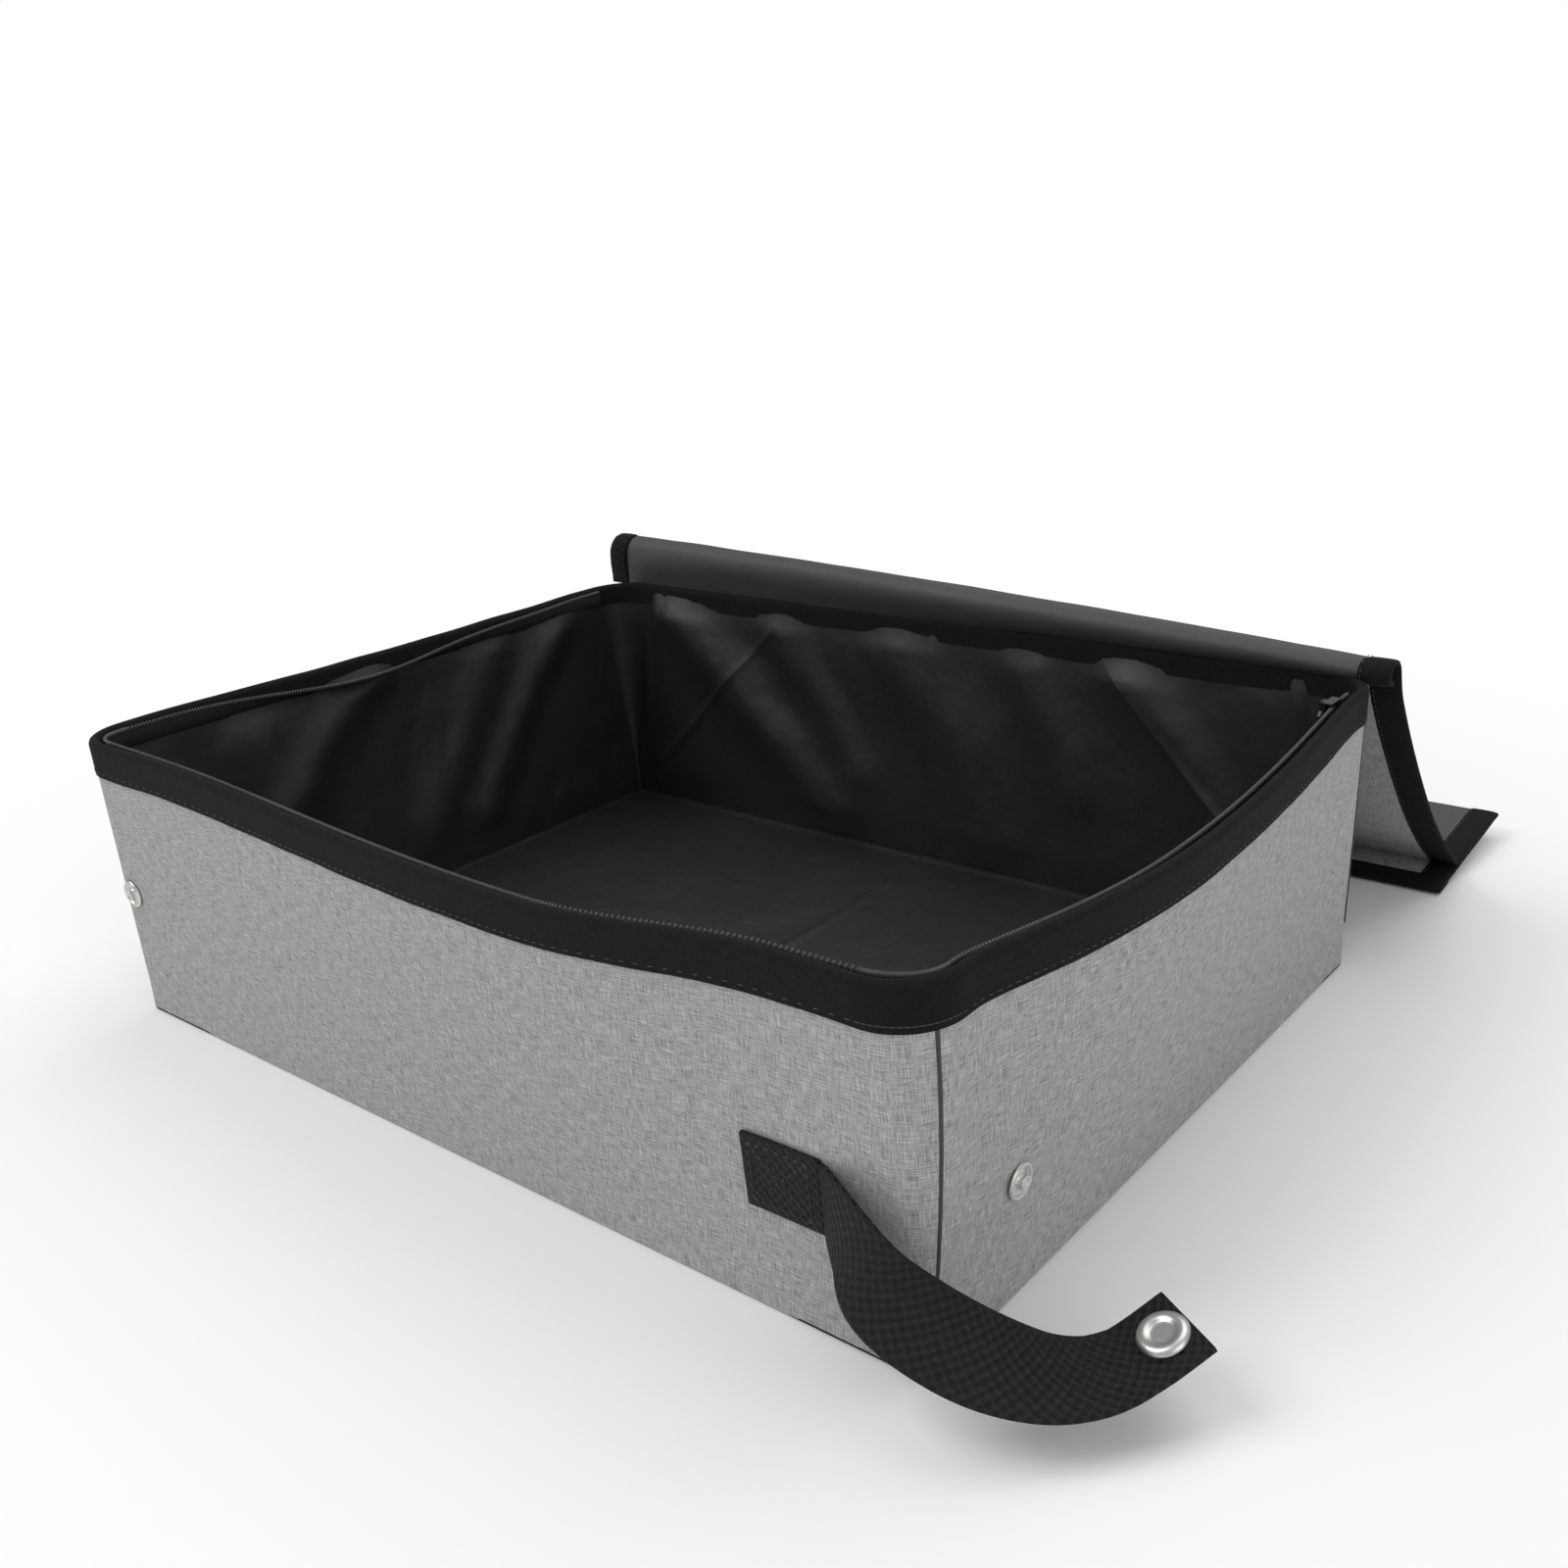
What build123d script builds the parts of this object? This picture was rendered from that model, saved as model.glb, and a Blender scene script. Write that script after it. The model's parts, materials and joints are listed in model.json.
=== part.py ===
from build123d import *
import math
import os

# Overall sizes of the open tray. Lengths are in millimetres, angles in degrees.
tray_length = 400
tray_width = 300
tray_height = 120
wall_lean = 3.5
floor_corner_radius = 4
rim_corner_radius = 22
corner_flats = 6

# Layers of cloth, board and lining.
cloth_thickness = 0.6
wall_board_thickness = 2
lining_thickness = 0.6
floor_board_thickness = 2.4
board_margin = 3
board_crease_gap = 2
seam_gap = 0.4
fold_clearance = 0.4

# Binding folded over the rim.
binding_thickness = 0.7
binding_outside_height = 14
binding_inside_height = 10

# Zip tape sewn inside the rim, with the coil on its upper edge.
tape_standoff = 1.8
tape_thickness = 0.5
tape_width = 7
tape_foot = 3
coil_radius = 0.75
coil_drop = 2.2

# Zip slider and its pull.
slider_length = 9
slider_skirt = 5
slider_plate = 0.8
slider_back_plate = 0.5
slider_clearance = 0.3
slider_from_corner = 20
ear_thickness = 0.9
ear_spacing = 4
pin_radius = 0.4
pin_clearance = 0.25
eye_wall = 0.6
pull_length = 24
pull_width = 6
pull_thickness = 1
pull_hole_radius = 1.6

# Lid, worn open: a band on the rear rim, a folded strip, and three panels on cloth creases.
lid_overhang = 3
lid_cloth_thickness = 0.9
lid_web_thickness = 1.2
lid_band_height = 7
lid_strip_height = 11
lid_back_length = 158
lid_back_start_heading = -72
lid_back_end_heading = -36
lid_crease_length = 9
lid_middle_length = 56
lid_middle_heading = 5
lid_front_length = 70
lid_front_heading = 185.9
edge_tape_width = 12
edge_tape_thickness = 0.8

# Strap with its snap, and the two studs that the snap closes on.
strap_width = 25
strap_thickness = 1.6
strap_free_length = 123
strap_patch_length = 26
strap_patch_inset = 32
strap_height = 48.6
strap_hinge_gap = 0.6
cap_radius = 7.5
cap_height = 2
cap_edge_chamfer = 0.9
socket_radius = 6
socket_height = 2.4
socket_hole_radius = 2.7
stud_base_radius = 6
stud_base_height = 1
stud_post_radius = 2.4
stud_post_height = 1.6
right_stud_inset = 42
right_stud_height = 42.3
front_stud_inset = 11
front_stud_height = 55.6

# Route of the strap from its hinge: along the length, outwards in front, and up, as shares of its free length.
strap_route_shares = (
    (0.004, 0, 0),
    (0.12, 0.075, -0.012),
    (0.24, 0.115, -0.075),
    (0.363, 0.09, -0.167),
    (0.47, 0.025, -0.232),
    (0.56, -0.073, -0.273),
    (0.633, -0.18, -0.265),
    (0.705, -0.31, -0.2),
)
# Direction of the strap's upper edge at each point of the route, in the same three directions.
strap_edge_shares = (
    (0, 0.06, 1),
    (0.25, -0.1, 0.96),
    (0.33, -0.45, 0.82),
    (0.1, -0.72, 0.68),
    (-0.3, -0.79, 0.53),
    (-0.7, -0.64, 0.3),
    (-0.87, -0.49, 0),
    (-0.87, -0.49, 0),
)
snap_place_share = 0.45

# Heights and planes that follow from these sizes.
lean = math.radians(wall_lean)
wall_thickness = cloth_thickness + wall_board_thickness + lining_thickness
floor_top = cloth_thickness + floor_board_thickness + lining_thickness
coil_offset = binding_thickness + tape_standoff + tape_thickness / 2
tape_reach = coil_offset + coil_radius
slider_front = tape_reach + slider_clearance + slider_plate
eye_radius = pin_radius + pin_clearance + eye_wall
pin_offset = slider_front + slider_clearance + eye_radius
pull_reach = pin_offset + eye_radius
end_hinge_x = tray_length / 2 - wall_thickness
end_hinge_z = floor_top + pull_reach + fold_clearance
long_hinge_y = tray_width / 2 - wall_thickness
long_hinge_z = end_hinge_z + wall_thickness + binding_thickness + tape_reach + fold_clearance
end_rim = (tray_height - end_hinge_z) / math.cos(lean)
long_rim = (tray_height - long_hinge_z) / math.cos(lean)
mitre_foot = end_hinge_x - (long_hinge_z - floor_top)
lid_thickness = lid_cloth_thickness + lining_thickness
lid_half_width = tray_length / 2 + lid_overhang
strap_patch_end = tray_length / 2 - strap_patch_inset
right_stud_y = right_stud_inset - tray_width / 2
front_stud_x = front_stud_inset - tray_length / 2
quarter_turn = 90


def wall_frame(turn, reach, height):
    """Frame of a leaning wall: x along it, y up it, z outwards, from its hinge line."""
    angle = math.radians(turn)
    out = (math.cos(angle) * math.cos(lean), math.sin(angle) * math.cos(lean), -math.sin(lean))
    origin = (reach * math.cos(angle), reach * math.sin(angle), height)
    return Plane(origin=origin, x_dir=(-math.sin(angle), math.cos(angle), 0), z_dir=out)


right_frame = wall_frame(0, end_hinge_x, end_hinge_z)
rear_frame = wall_frame(90, long_hinge_y, long_hinge_z)
left_frame = wall_frame(180, end_hinge_x, end_hinge_z)
front_frame = wall_frame(270, long_hinge_y, long_hinge_z)


def outer_x(height):
    """Outer face of an end wall at a height above the floor."""
    return end_hinge_x + wall_thickness / math.cos(lean) + (height - end_hinge_z) * math.tan(lean)


def outer_y(height):
    """Outer face of a long wall at a height above the floor."""
    return long_hinge_y + wall_thickness / math.cos(lean) + (height - long_hinge_z) * math.tan(lean)


def corner_radius(height):
    """Radius of the tray's corner, which grows from the floor band to the rim."""
    climb = (height - long_hinge_z) / (tray_height - long_hinge_z)
    return floor_corner_radius + (rim_corner_radius - floor_corner_radius) * climb


def plate(frame, outline, start, finish):
    """A flat layer of a wall, between two distances from the wall's inner face."""
    face = make_face(Polyline(*outline, close=True))
    return frame.location * Pos(0, 0, start) * extrude(face, amount=finish - start, dir=(0, 0, 1))


def rail(frame, section, start, finish):
    """A strip along a wall, from its section drawn outwards and up the wall."""
    plane = Plane(origin=(start, 0, 0), x_dir=(0, 0, 1), z_dir=(-1, 0, 0))
    solid = extrude(plane.location * section, amount=finish - start, dir=(1, 0, 0))
    return frame.location * solid


def end_outline(low, high, inset):
    """Outline of an end wall's layer, narrowing to the tangent of the rounded rim corner."""
    bend = (long_hinge_z - end_hinge_z) / math.cos(lean)
    foot = outer_y(long_hinge_z) - floor_corner_radius - seam_gap - inset
    climb = (high - bend) / (end_rim - bend)
    head = outer_y(tray_height) - rim_corner_radius - seam_gap - inset
    head = foot + (head - foot) * climb
    right = [(foot, low), (foot, bend), (head, high)]
    left = [(-u, v) for u, v in reversed(right)]
    return right + left


def mitre_outline(low, high, side, inset):
    """Half of a long wall's layer, from the crease at mid length to its mitred end."""
    edge = side * inset
    foot = side * (mitre_foot - low)
    head = side * (mitre_foot - high)
    return [(edge, low), (foot - edge, low), (head - edge, high), (edge, high)]


def whole_mitre_outline(low, high):
    """A long wall's layer in one piece, mitred at both ends."""
    foot = mitre_foot - low
    head = mitre_foot - high
    return [(-foot, low), (foot, low), (head, high), (-head, high)]


def binding_section(rim):
    """Section of the binding that is folded over a rim."""
    outer = wall_thickness + binding_thickness
    points = [
        (-binding_thickness, rim - binding_inside_height),
        (-binding_thickness, rim),
        (outer, rim),
        (outer, rim - binding_outside_height),
        (wall_thickness, rim - binding_outside_height),
        (wall_thickness, rim - binding_thickness),
        (0, rim - binding_thickness),
        (0, rim - binding_inside_height),
    ]
    return make_face(Polyline(*points, close=True))


def tape_section(rim):
    """Section of the zip tape: a sewn foot, the standing tape and the coil on its edge."""
    coil_height = rim - coil_drop
    inner = -coil_offset - tape_thickness / 2
    sewn = -binding_thickness
    low = coil_height - tape_width
    points = [
        (sewn, low),
        (inner, low),
        (inner, coil_height),
        (inner + tape_thickness, coil_height),
        (inner + tape_thickness, low + tape_foot),
        (sewn, low + tape_foot),
    ]
    coil = Pos(-coil_offset, coil_height) * Circle(coil_radius)
    return make_face(Polyline(*points, close=True)) + coil


def end_wall(frame):
    """Layers, binding and zip tape of an end wall."""
    low = seam_gap
    high = end_rim - binding_thickness
    board_start = lining_thickness
    cloth_start = lining_thickness + wall_board_thickness
    board_outline = end_outline(board_margin, high - seam_gap, seam_gap)
    reach = outer_y(tray_height) - rim_corner_radius - seam_gap
    return {
        "wall_lining": plate(frame, end_outline(low, high, 0), 0, lining_thickness),
        "wall_board": plate(frame, board_outline, board_start, cloth_start),
        "wall_fabric": plate(frame, end_outline(low, high, 0), cloth_start, wall_thickness),
        "rim_binding": rail(frame, binding_section(end_rim), -reach, reach),
        "zip_tape": rail(frame, tape_section(end_rim), -reach, reach),
    }


def long_wall(frame):
    """Layers and binding of a long wall, whose ends are mitred along the corner creases."""
    low = seam_gap
    high = long_rim - binding_thickness
    cloth_start = lining_thickness + wall_board_thickness
    board_low = board_margin
    board_high = high - seam_gap
    reach = mitre_foot - long_rim
    outlines = [mitre_outline(board_low, board_high, side, board_crease_gap / 2) for side in (1, -1)]
    boards = [plate(frame, outline, lining_thickness, cloth_start) for outline in outlines]
    return {
        "wall_lining": plate(frame, whole_mitre_outline(low, high), 0, lining_thickness),
        "boards": boards,
        "wall_fabric": plate(frame, whole_mitre_outline(low, high), cloth_start, wall_thickness),
        "rim_binding": rail(frame, binding_section(long_rim), -reach, reach),
    }


def corner_outline(height, start, outside, inside):
    """Level outline of a corner piece: along the long wall, round the corner, to the end wall.

    The corner turns in narrow flats, so that every side of the piece stays a plane."""
    radius = corner_radius(height)
    centre_x = outer_x(height) - radius
    centre_y = outer_y(height) - radius
    outer_turn = radius + outside / math.cos(lean)
    inner_turn = radius - inside / math.cos(lean)
    angles = [math.radians(quarter_turn * step / corner_flats) for step in range(corner_flats + 1)]
    outer = [(centre_x + outer_turn * math.cos(a), centre_y + outer_turn * math.sin(a)) for a in angles]
    inner = [(centre_x + inner_turn * math.cos(a), centre_y + inner_turn * math.sin(a)) for a in angles]
    outline = outer + [(start, outer[-1][1]), (start, inner[-1][1])] + inner[::-1]
    return [(x, y, height) for x, y in outline]


def corner_shell(low, high, low_start, high_start, outside, inside):
    """A corner piece with plane sides between its lower and its upper outline."""
    lower = corner_outline(low, low_start, outside, inside)
    upper = corner_outline(high, high_start, outside, inside)
    faces = [make_face(Polyline(*points, close=True)) for points in (lower, upper)]
    for index, point in enumerate(lower):
        side = [lower[index - 1], point, upper[index], upper[index - 1]]
        faces.append(make_face(Polyline(*side, close=True)))
    return Solid(Shell([face.face() for face in faces]))


def mitre_start(height):
    """Where a corner piece starts at a height, just past the long wall's mitred end."""
    return mitre_foot - (height - long_hinge_z) / math.cos(lean) + 2 * seam_gap


def corner_fabric():
    """The cloth that closes a corner, from the mitre crease round to the end wall."""
    low = long_hinge_z + seam_gap
    high = tray_height - binding_thickness - fold_clearance
    return corner_shell(low, high, mitre_start(low), mitre_start(high), 0, cloth_thickness)


def corner_binding():
    """The binding round a rim corner, with its channel over the corner cloth."""
    low = tray_height - binding_outside_height
    start = mitre_foot - long_rim + seam_gap
    whole = wall_thickness + binding_thickness
    shell = corner_shell(low, tray_height, start, start, binding_thickness, whole)
    channel_low = low - seam_gap
    channel_high = tray_height - binding_thickness
    margin = board_margin
    channel = corner_shell(channel_low, channel_high, start - margin, start - margin, 0, wall_thickness)
    return shell - channel


def corner_lining():
    """The lining that closes a corner inside the cloth, on the line of the wall linings."""
    low = long_hinge_z + seam_gap
    high = tray_height - binding_thickness - fold_clearance
    outside = lining_thickness - wall_thickness
    return corner_shell(low, high, mitre_start(low), mitre_start(high), outside, wall_thickness)


def base_fabric():
    """Floor cloth with the sewn band that stands up round the floor and carries the walls."""
    band = long_hinge_z - seam_gap / 2
    floor = extrude(RectangleRounded(tray_length, tray_width, floor_corner_radius), amount=band)
    inside_length = tray_length - 2 * wall_thickness
    inside_width = tray_width - 2 * wall_thickness
    inside_radius = floor_corner_radius - wall_thickness
    hollow = extrude(RectangleRounded(inside_length, inside_width, inside_radius), amount=band)
    floor = floor - Pos(0, 0, cloth_thickness) * hollow
    end_band = end_hinge_z - seam_gap / 2
    notch_width = 2 * (outer_y(long_hinge_z) - floor_corner_radius)
    notch = Box(2 * tray_length, notch_width, band, align=(Align.CENTER, Align.CENTER, Align.MIN))
    return floor - Pos(0, 0, end_band) * notch


def base_board(side):
    """Half of the floor board, on one side of the crease at mid length."""
    start = board_crease_gap / 2
    finish = end_hinge_x - seam_gap
    width = 2 * (long_hinge_y - seam_gap)
    board = Box(finish - start, width, floor_board_thickness, align=(Align.MIN, Align.CENTER, Align.MIN))
    board = Pos(start, 0, cloth_thickness) * board
    return board if side > 0 else mirror(board, about=Plane.YZ)


def floor_lining():
    """Lining sheet over the floor boards."""
    length = 2 * end_hinge_x - seam_gap
    width = 2 * long_hinge_y - seam_gap
    sheet = Box(length, width, lining_thickness, align=(Align.CENTER, Align.CENTER, Align.MIN))
    return Pos(0, 0, cloth_thickness + floor_board_thickness) * sheet


def step_from(point, heading, along, across=0):
    """A point reached from another by going along a heading and to its upper side."""
    angle = math.radians(heading)
    y = point[0] + along * math.cos(angle) - across * math.sin(angle)
    z = point[1] + along * math.sin(angle) + across * math.cos(angle)
    return (y, z)


# Creases of the open lid, from the rear rim outwards, as points across the tray.
rim_heading = quarter_turn - wall_lean
rim_outer = wall_thickness + binding_thickness - lid_web_thickness / 2
crease_rim = step_from((long_hinge_y, long_hinge_z), rim_heading, long_rim, -rim_outer)
crease_rim = (crease_rim[0], tray_height + lid_web_thickness / 2 + fold_clearance)
crease_band = step_from(crease_rim, rim_heading, lid_band_height)
crease_top = step_from(crease_band, rim_heading, lid_strip_height)
back_offset = lid_thickness / 2 + fold_clearance / 2
back_gap = 2 * lid_web_thickness
back_start = step_from(crease_top, lid_back_start_heading, back_gap, back_offset)
back_radius = lid_back_length / math.radians(lid_back_end_heading - lid_back_start_heading)
back_centre = step_from(back_start, lid_back_start_heading, 0, back_radius)
back_finish = step_from(back_centre, lid_back_end_heading, 0, -back_radius)
crease_back = step_from(back_finish, lid_back_end_heading, seam_gap)
crease_floor = step_from(crease_back, lid_back_end_heading, lid_crease_length)
middle_finish = step_from(crease_floor, lid_middle_heading, lid_middle_length)
turn_offset = lid_thickness / 2 + fold_clearance / 2
crease_front = step_from(middle_finish, lid_middle_heading, seam_gap, -turn_offset)


def lid_sheet(point, heading, start, finish, half_width, lower, upper):
    """A flat lid layer across the tray's length, from a crease along a heading."""
    angle = math.radians(heading)
    origin = (0, point[0], point[1])
    frame = Plane(origin=origin, x_dir=(1, 0, 0), z_dir=(0, -math.sin(angle), math.cos(angle)))
    outline = [(-half_width, start), (half_width, start), (half_width, finish), (-half_width, finish)]
    return plate(frame, outline, lower, upper)


def lid_side_tapes(point, heading, start, finish, middle):
    """Edge tapes along both sides of a flat lid panel."""
    angle = math.radians(heading)
    origin = (0, point[0], point[1])
    frame = Plane(origin=origin, x_dir=(1, 0, 0), z_dir=(0, -math.sin(angle), math.cos(angle)))
    inner = lid_half_width + seam_gap / 2
    outer = lid_half_width + edge_tape_width
    tapes = []
    for side in (1, -1):
        outline = [(side * inner, start), (side * outer, start), (side * outer, finish), (side * inner, finish)]
        half = edge_tape_thickness / 2
        tapes.append(plate(frame, outline, middle - half, middle + half))
    return tapes


def lid_arc(inner_x, outer_x_value, lower, upper):
    """A layer of the curved back panel, between two places across the tray's length."""
    turn = lid_back_end_heading - lid_back_start_heading
    far = CenterArc(back_centre, back_radius - lower, lid_back_start_heading - quarter_turn, turn)
    near = CenterArc(back_centre, back_radius - upper, lid_back_start_heading - quarter_turn, turn)
    face = make_face([far, Line(far @ 1, near @ 1), near, Line(near @ 0, far @ 0)])
    solid = extrude(face, amount=outer_x_value - inner_x, dir=(0, 0, 1))
    frame = Plane(origin=(inner_x, 0, 0), x_dir=(0, 1, 0), z_dir=(1, 0, 0))
    return frame.location * solid


def lid_panel(point, heading, length, offset):
    """Cloth, lining and side tapes of a flat lid panel."""
    low = offset - lid_thickness / 2
    seam = low + lid_cloth_thickness
    high = offset + lid_thickness / 2
    return {
        "fabric": lid_sheet(point, heading, seam_gap, length, lid_half_width, low, seam),
        "lining": lid_sheet(point, heading, seam_gap, length, lid_half_width, seam, high),
        "edge_tape": lid_side_tapes(point, heading, seam_gap, length, offset),
    }


def lid_web(point, heading, start, length):
    """A narrow strip of doubled cloth between two creases of the lid."""
    half = lid_web_thickness / 2
    return lid_sheet(point, heading, start, length - seam_gap, lid_half_width, -half, half)


strap_hinge_up = (strap_height - long_hinge_z) / math.cos(lean)
strap_hinge_along = strap_patch_end + strap_thickness / 2 + strap_hinge_gap
strap_hinge = front_frame.from_local_coords(
    (strap_hinge_along, strap_hinge_up, wall_thickness + strap_thickness / 2 + fold_clearance / 2)
)


def strap_point(shares):
    """A point of the strap's route, from its hinge."""
    along, outwards, up = [strap_free_length * share for share in shares]
    return strap_hinge + Vector(along, -outwards, up)


def strap_frame(index, place=0):
    """Frame across the strap at a point of its route, or part way to the next one."""
    last = len(strap_route_shares) - 1
    here = strap_point(strap_route_shares[index])
    before = here if index == last - 1 else strap_point(strap_route_shares[max(index - 1, 0)])
    after = strap_point(strap_route_shares[min(index + 1, last)])
    along = (after - before).normalized()
    x, y, z = strap_edge_shares[index]
    edge = Vector(x, -y, z)
    edge = (edge - along * edge.dot(along)).normalized()
    return Plane(origin=here + (after - here) * place, x_dir=edge, z_dir=along)


def snap_strap():
    """Webbing strap that twists as it runs out round the corner."""
    count = len(strap_route_shares)
    section = Rectangle(strap_width, strap_thickness)
    sections = [strap_frame(index).location * section for index in range(count)]
    return loft(sections, ruled=True)


def snap_frame():
    """Frame on the strap near its tip, with its z axis out of the cap's side."""
    across = strap_frame(len(strap_route_shares) - 2, snap_place_share)
    return Plane(origin=across.origin, x_dir=across.x_dir, z_dir=across.y_dir)


def snap_cap():
    """Bevelled cap of the snap on the strap's outer side."""
    bottom = (Align.CENTER, Align.CENTER, Align.MIN)
    cap = Cylinder(cap_radius, cap_height, align=bottom)
    cap = chamfer(cap.edges().group_by(Axis.Z)[-1], cap_edge_chamfer)
    return snap_frame().location * Pos(0, 0, strap_thickness / 2) * cap


def snap_socket():
    """Socket of the snap on the strap's inner side."""
    top = (Align.CENTER, Align.CENTER, Align.MAX)
    socket = Cylinder(socket_radius, socket_height, align=top)
    socket = socket - Cylinder(socket_hole_radius, socket_height, align=top)
    return snap_frame().location * Pos(0, 0, -strap_thickness / 2) * socket


def stud(frame, along, height, hinge_height):
    """Stud of a snap on a wall's outer face."""
    bottom = (Align.CENTER, Align.CENTER, Align.MIN)
    up = (height - hinge_height) / math.cos(lean)
    base = Cylinder(stud_base_radius, stud_base_height, align=bottom)
    post = Pos(0, 0, stud_base_height) * Cylinder(stud_post_radius, stud_post_height, align=bottom)
    return frame.location * Pos(along, up, wall_thickness) * (base + post)


def strap_patch():
    """Sewn-down end of the strap on the front wall."""
    start = strap_patch_end - strap_patch_length
    low = strap_hinge_up - strap_width / 2
    high = strap_hinge_up + strap_width / 2
    outline = [(start, low), (strap_patch_end, low), (strap_patch_end, high), (start, high)]
    return plate(front_frame, outline, wall_thickness, wall_thickness + strap_thickness)


slider_along = outer_y(tray_height) - rim_corner_radius - slider_from_corner + slider_length / 2
slider_up = end_rim - coil_drop


def zip_slider():
    """Slider that straddles the coil, with two ears and the pin of its pull."""
    clear = coil_radius + slider_clearance
    top = slider_up + clear
    low = slider_up - slider_skirt
    back_outer = coil_offset - clear
    back_inner = back_outer - slider_back_plate
    points = [
        (-slider_front, low),
        (-slider_front, top + slider_plate),
        (-back_inner, top + slider_plate),
        (-back_inner, slider_up - clear),
        (-back_outer, slider_up - clear),
        (-back_outer, top),
        (-slider_front + slider_plate, top),
        (-slider_front + slider_plate, low),
    ]
    half = slider_length / 2
    body = rail(right_frame, make_face(Polyline(*points, close=True)), slider_along - half, slider_along + half)
    ear = [
        (-slider_front, slider_up - eye_radius),
        (-slider_front, slider_up + eye_radius),
        (-pin_offset - pin_radius, slider_up + pin_radius + eye_wall / 2),
        (-pin_offset - pin_radius, slider_up - pin_radius - eye_wall / 2),
    ]
    face = make_face(Polyline(*ear, close=True))
    inner = ear_spacing / 2
    outer = inner + ear_thickness
    ears = rail(right_frame, face, slider_along + inner, slider_along + outer)
    ears = ears + rail(right_frame, face, slider_along - outer, slider_along - inner)
    pin = Pos(-pin_offset, slider_up) * Circle(pin_radius)
    return body + ears + rail(right_frame, pin, slider_along - outer, slider_along + outer)


def zip_pull():
    """Pull tab that hangs from the slider's pin by its eye."""
    half = (ear_spacing - 2 * slider_clearance) / 2
    eye = Circle(eye_radius) - Circle(pin_radius + pin_clearance)
    eye = rail(right_frame, Pos(-pin_offset, slider_up) * eye, slider_along - half, slider_along + half)
    neck_top = slider_up - (eye_radius + pin_radius + pin_clearance) / 2
    shoulder = slider_up - 2 * eye_radius
    tip = slider_up - pull_length
    wide = pull_width / 2
    outline = [
        (slider_along - half, neck_top),
        (slider_along - half, shoulder),
        (slider_along - wide, shoulder - half),
        (slider_along - wide, tip),
        (slider_along + wide, tip),
        (slider_along + wide, shoulder - half),
        (slider_along + half, shoulder),
        (slider_along + half, neck_top),
    ]
    inner = -pin_offset - pull_thickness / 2
    tab = plate(right_frame, outline, inner, inner + pull_thickness)
    hole = Cylinder(pull_hole_radius, 2 * pull_thickness)
    place = Pos(slider_along, tip + 2 * pull_hole_radius, inner + pull_thickness / 2)
    return eye + tab - right_frame.location * place * hole


def parts_of_tray():
    """Every piece of the tray by name."""
    parts = {
        "base_fabric": base_fabric(),
        "base_board_right": base_board(1),
        "base_board_left": base_board(-1),
        "floor_lining": floor_lining(),
    }
    for name, frame in (("right", right_frame), ("left", left_frame)):
        for piece, solid in end_wall(frame).items():
            parts[name + "_" + piece] = solid
    long_walls = (("front", front_frame, ("right", "left")), ("rear", rear_frame, ("left", "right")))
    for name, frame, sides in long_walls:
        wall = long_wall(frame)
        for side, board in zip(sides, wall.pop("boards")):
            parts[name + "_board_" + side] = board
        for piece, solid in wall.items():
            parts[name + "_" + piece] = solid
    reach = mitre_foot - long_rim
    parts["front_zip_tape"] = rail(front_frame, tape_section(long_rim), -reach, reach)
    corner = {"fabric": corner_fabric(), "lining": corner_lining(), "binding": corner_binding()}
    for piece, solid in corner.items():
        left = mirror(solid, about=Plane.YZ)
        parts["corner_" + piece + "_rear_right"] = solid
        parts["corner_" + piece + "_rear_left"] = left
        parts["corner_" + piece + "_front_right"] = mirror(solid, about=Plane.XZ)
        parts["corner_" + piece + "_front_left"] = mirror(left, about=Plane.XZ)
    return parts


def parts_of_lid():
    """Every piece of the lid by name."""
    seam = -lid_thickness / 2 + lid_cloth_thickness
    half = edge_tape_thickness / 2
    inner = lid_half_width + seam_gap / 2
    outer = lid_half_width + edge_tape_width
    middle = lid_panel(crease_floor, lid_middle_heading, lid_middle_length, 0)
    front = lid_panel(crease_front, lid_front_heading, lid_front_length, turn_offset)
    end = lid_front_length + seam_gap / 2
    front_tape = lid_sheet(
        crease_front,
        lid_front_heading,
        end,
        lid_front_length + edge_tape_width,
        outer,
        turn_offset - half,
        turn_offset + half,
    )
    front["edge_tape"].append(front_tape)
    back_tapes = [lid_arc(inner, outer, -half, half), lid_arc(-outer, -inner, -half, half)]
    return {
        "lid_hinge_band": lid_web(crease_rim, rim_heading, -lid_web_thickness / 2, lid_band_height),
        "lid_fold_strip": lid_web(crease_band, rim_heading, seam_gap, lid_strip_height),
        "lid_back_fabric": lid_arc(-lid_half_width, lid_half_width, -lid_thickness / 2, seam),
        "lid_back_lining": lid_arc(-lid_half_width, lid_half_width, seam, lid_thickness / 2),
        "lid_back_edge_tape": Compound(children=back_tapes),
        "lid_crease_strip": lid_web(crease_back, lid_back_end_heading, seam_gap, lid_crease_length),
        "lid_middle_fabric": middle["fabric"],
        "lid_middle_lining": middle["lining"],
        "lid_middle_edge_tape": Compound(children=middle["edge_tape"]),
        "lid_front_fabric": front["fabric"],
        "lid_front_lining": front["lining"],
        "lid_front_edge_tape": Compound(children=front["edge_tape"]),
    }


def parts_of_fastenings():
    """Strap, snap and zip hardware by name."""
    return {
        "strap_patch": strap_patch(),
        "snap_strap": snap_strap(),
        "snap_cap": snap_cap(),
        "snap_socket": snap_socket(),
        "right_stud": stud(right_frame, right_stud_y, right_stud_height, end_hinge_z),
        "front_stud": stud(front_frame, front_stud_x, front_stud_height, long_hinge_z),
        "zip_slider": zip_slider(),
        "zip_pull": zip_pull(),
    }


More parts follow.
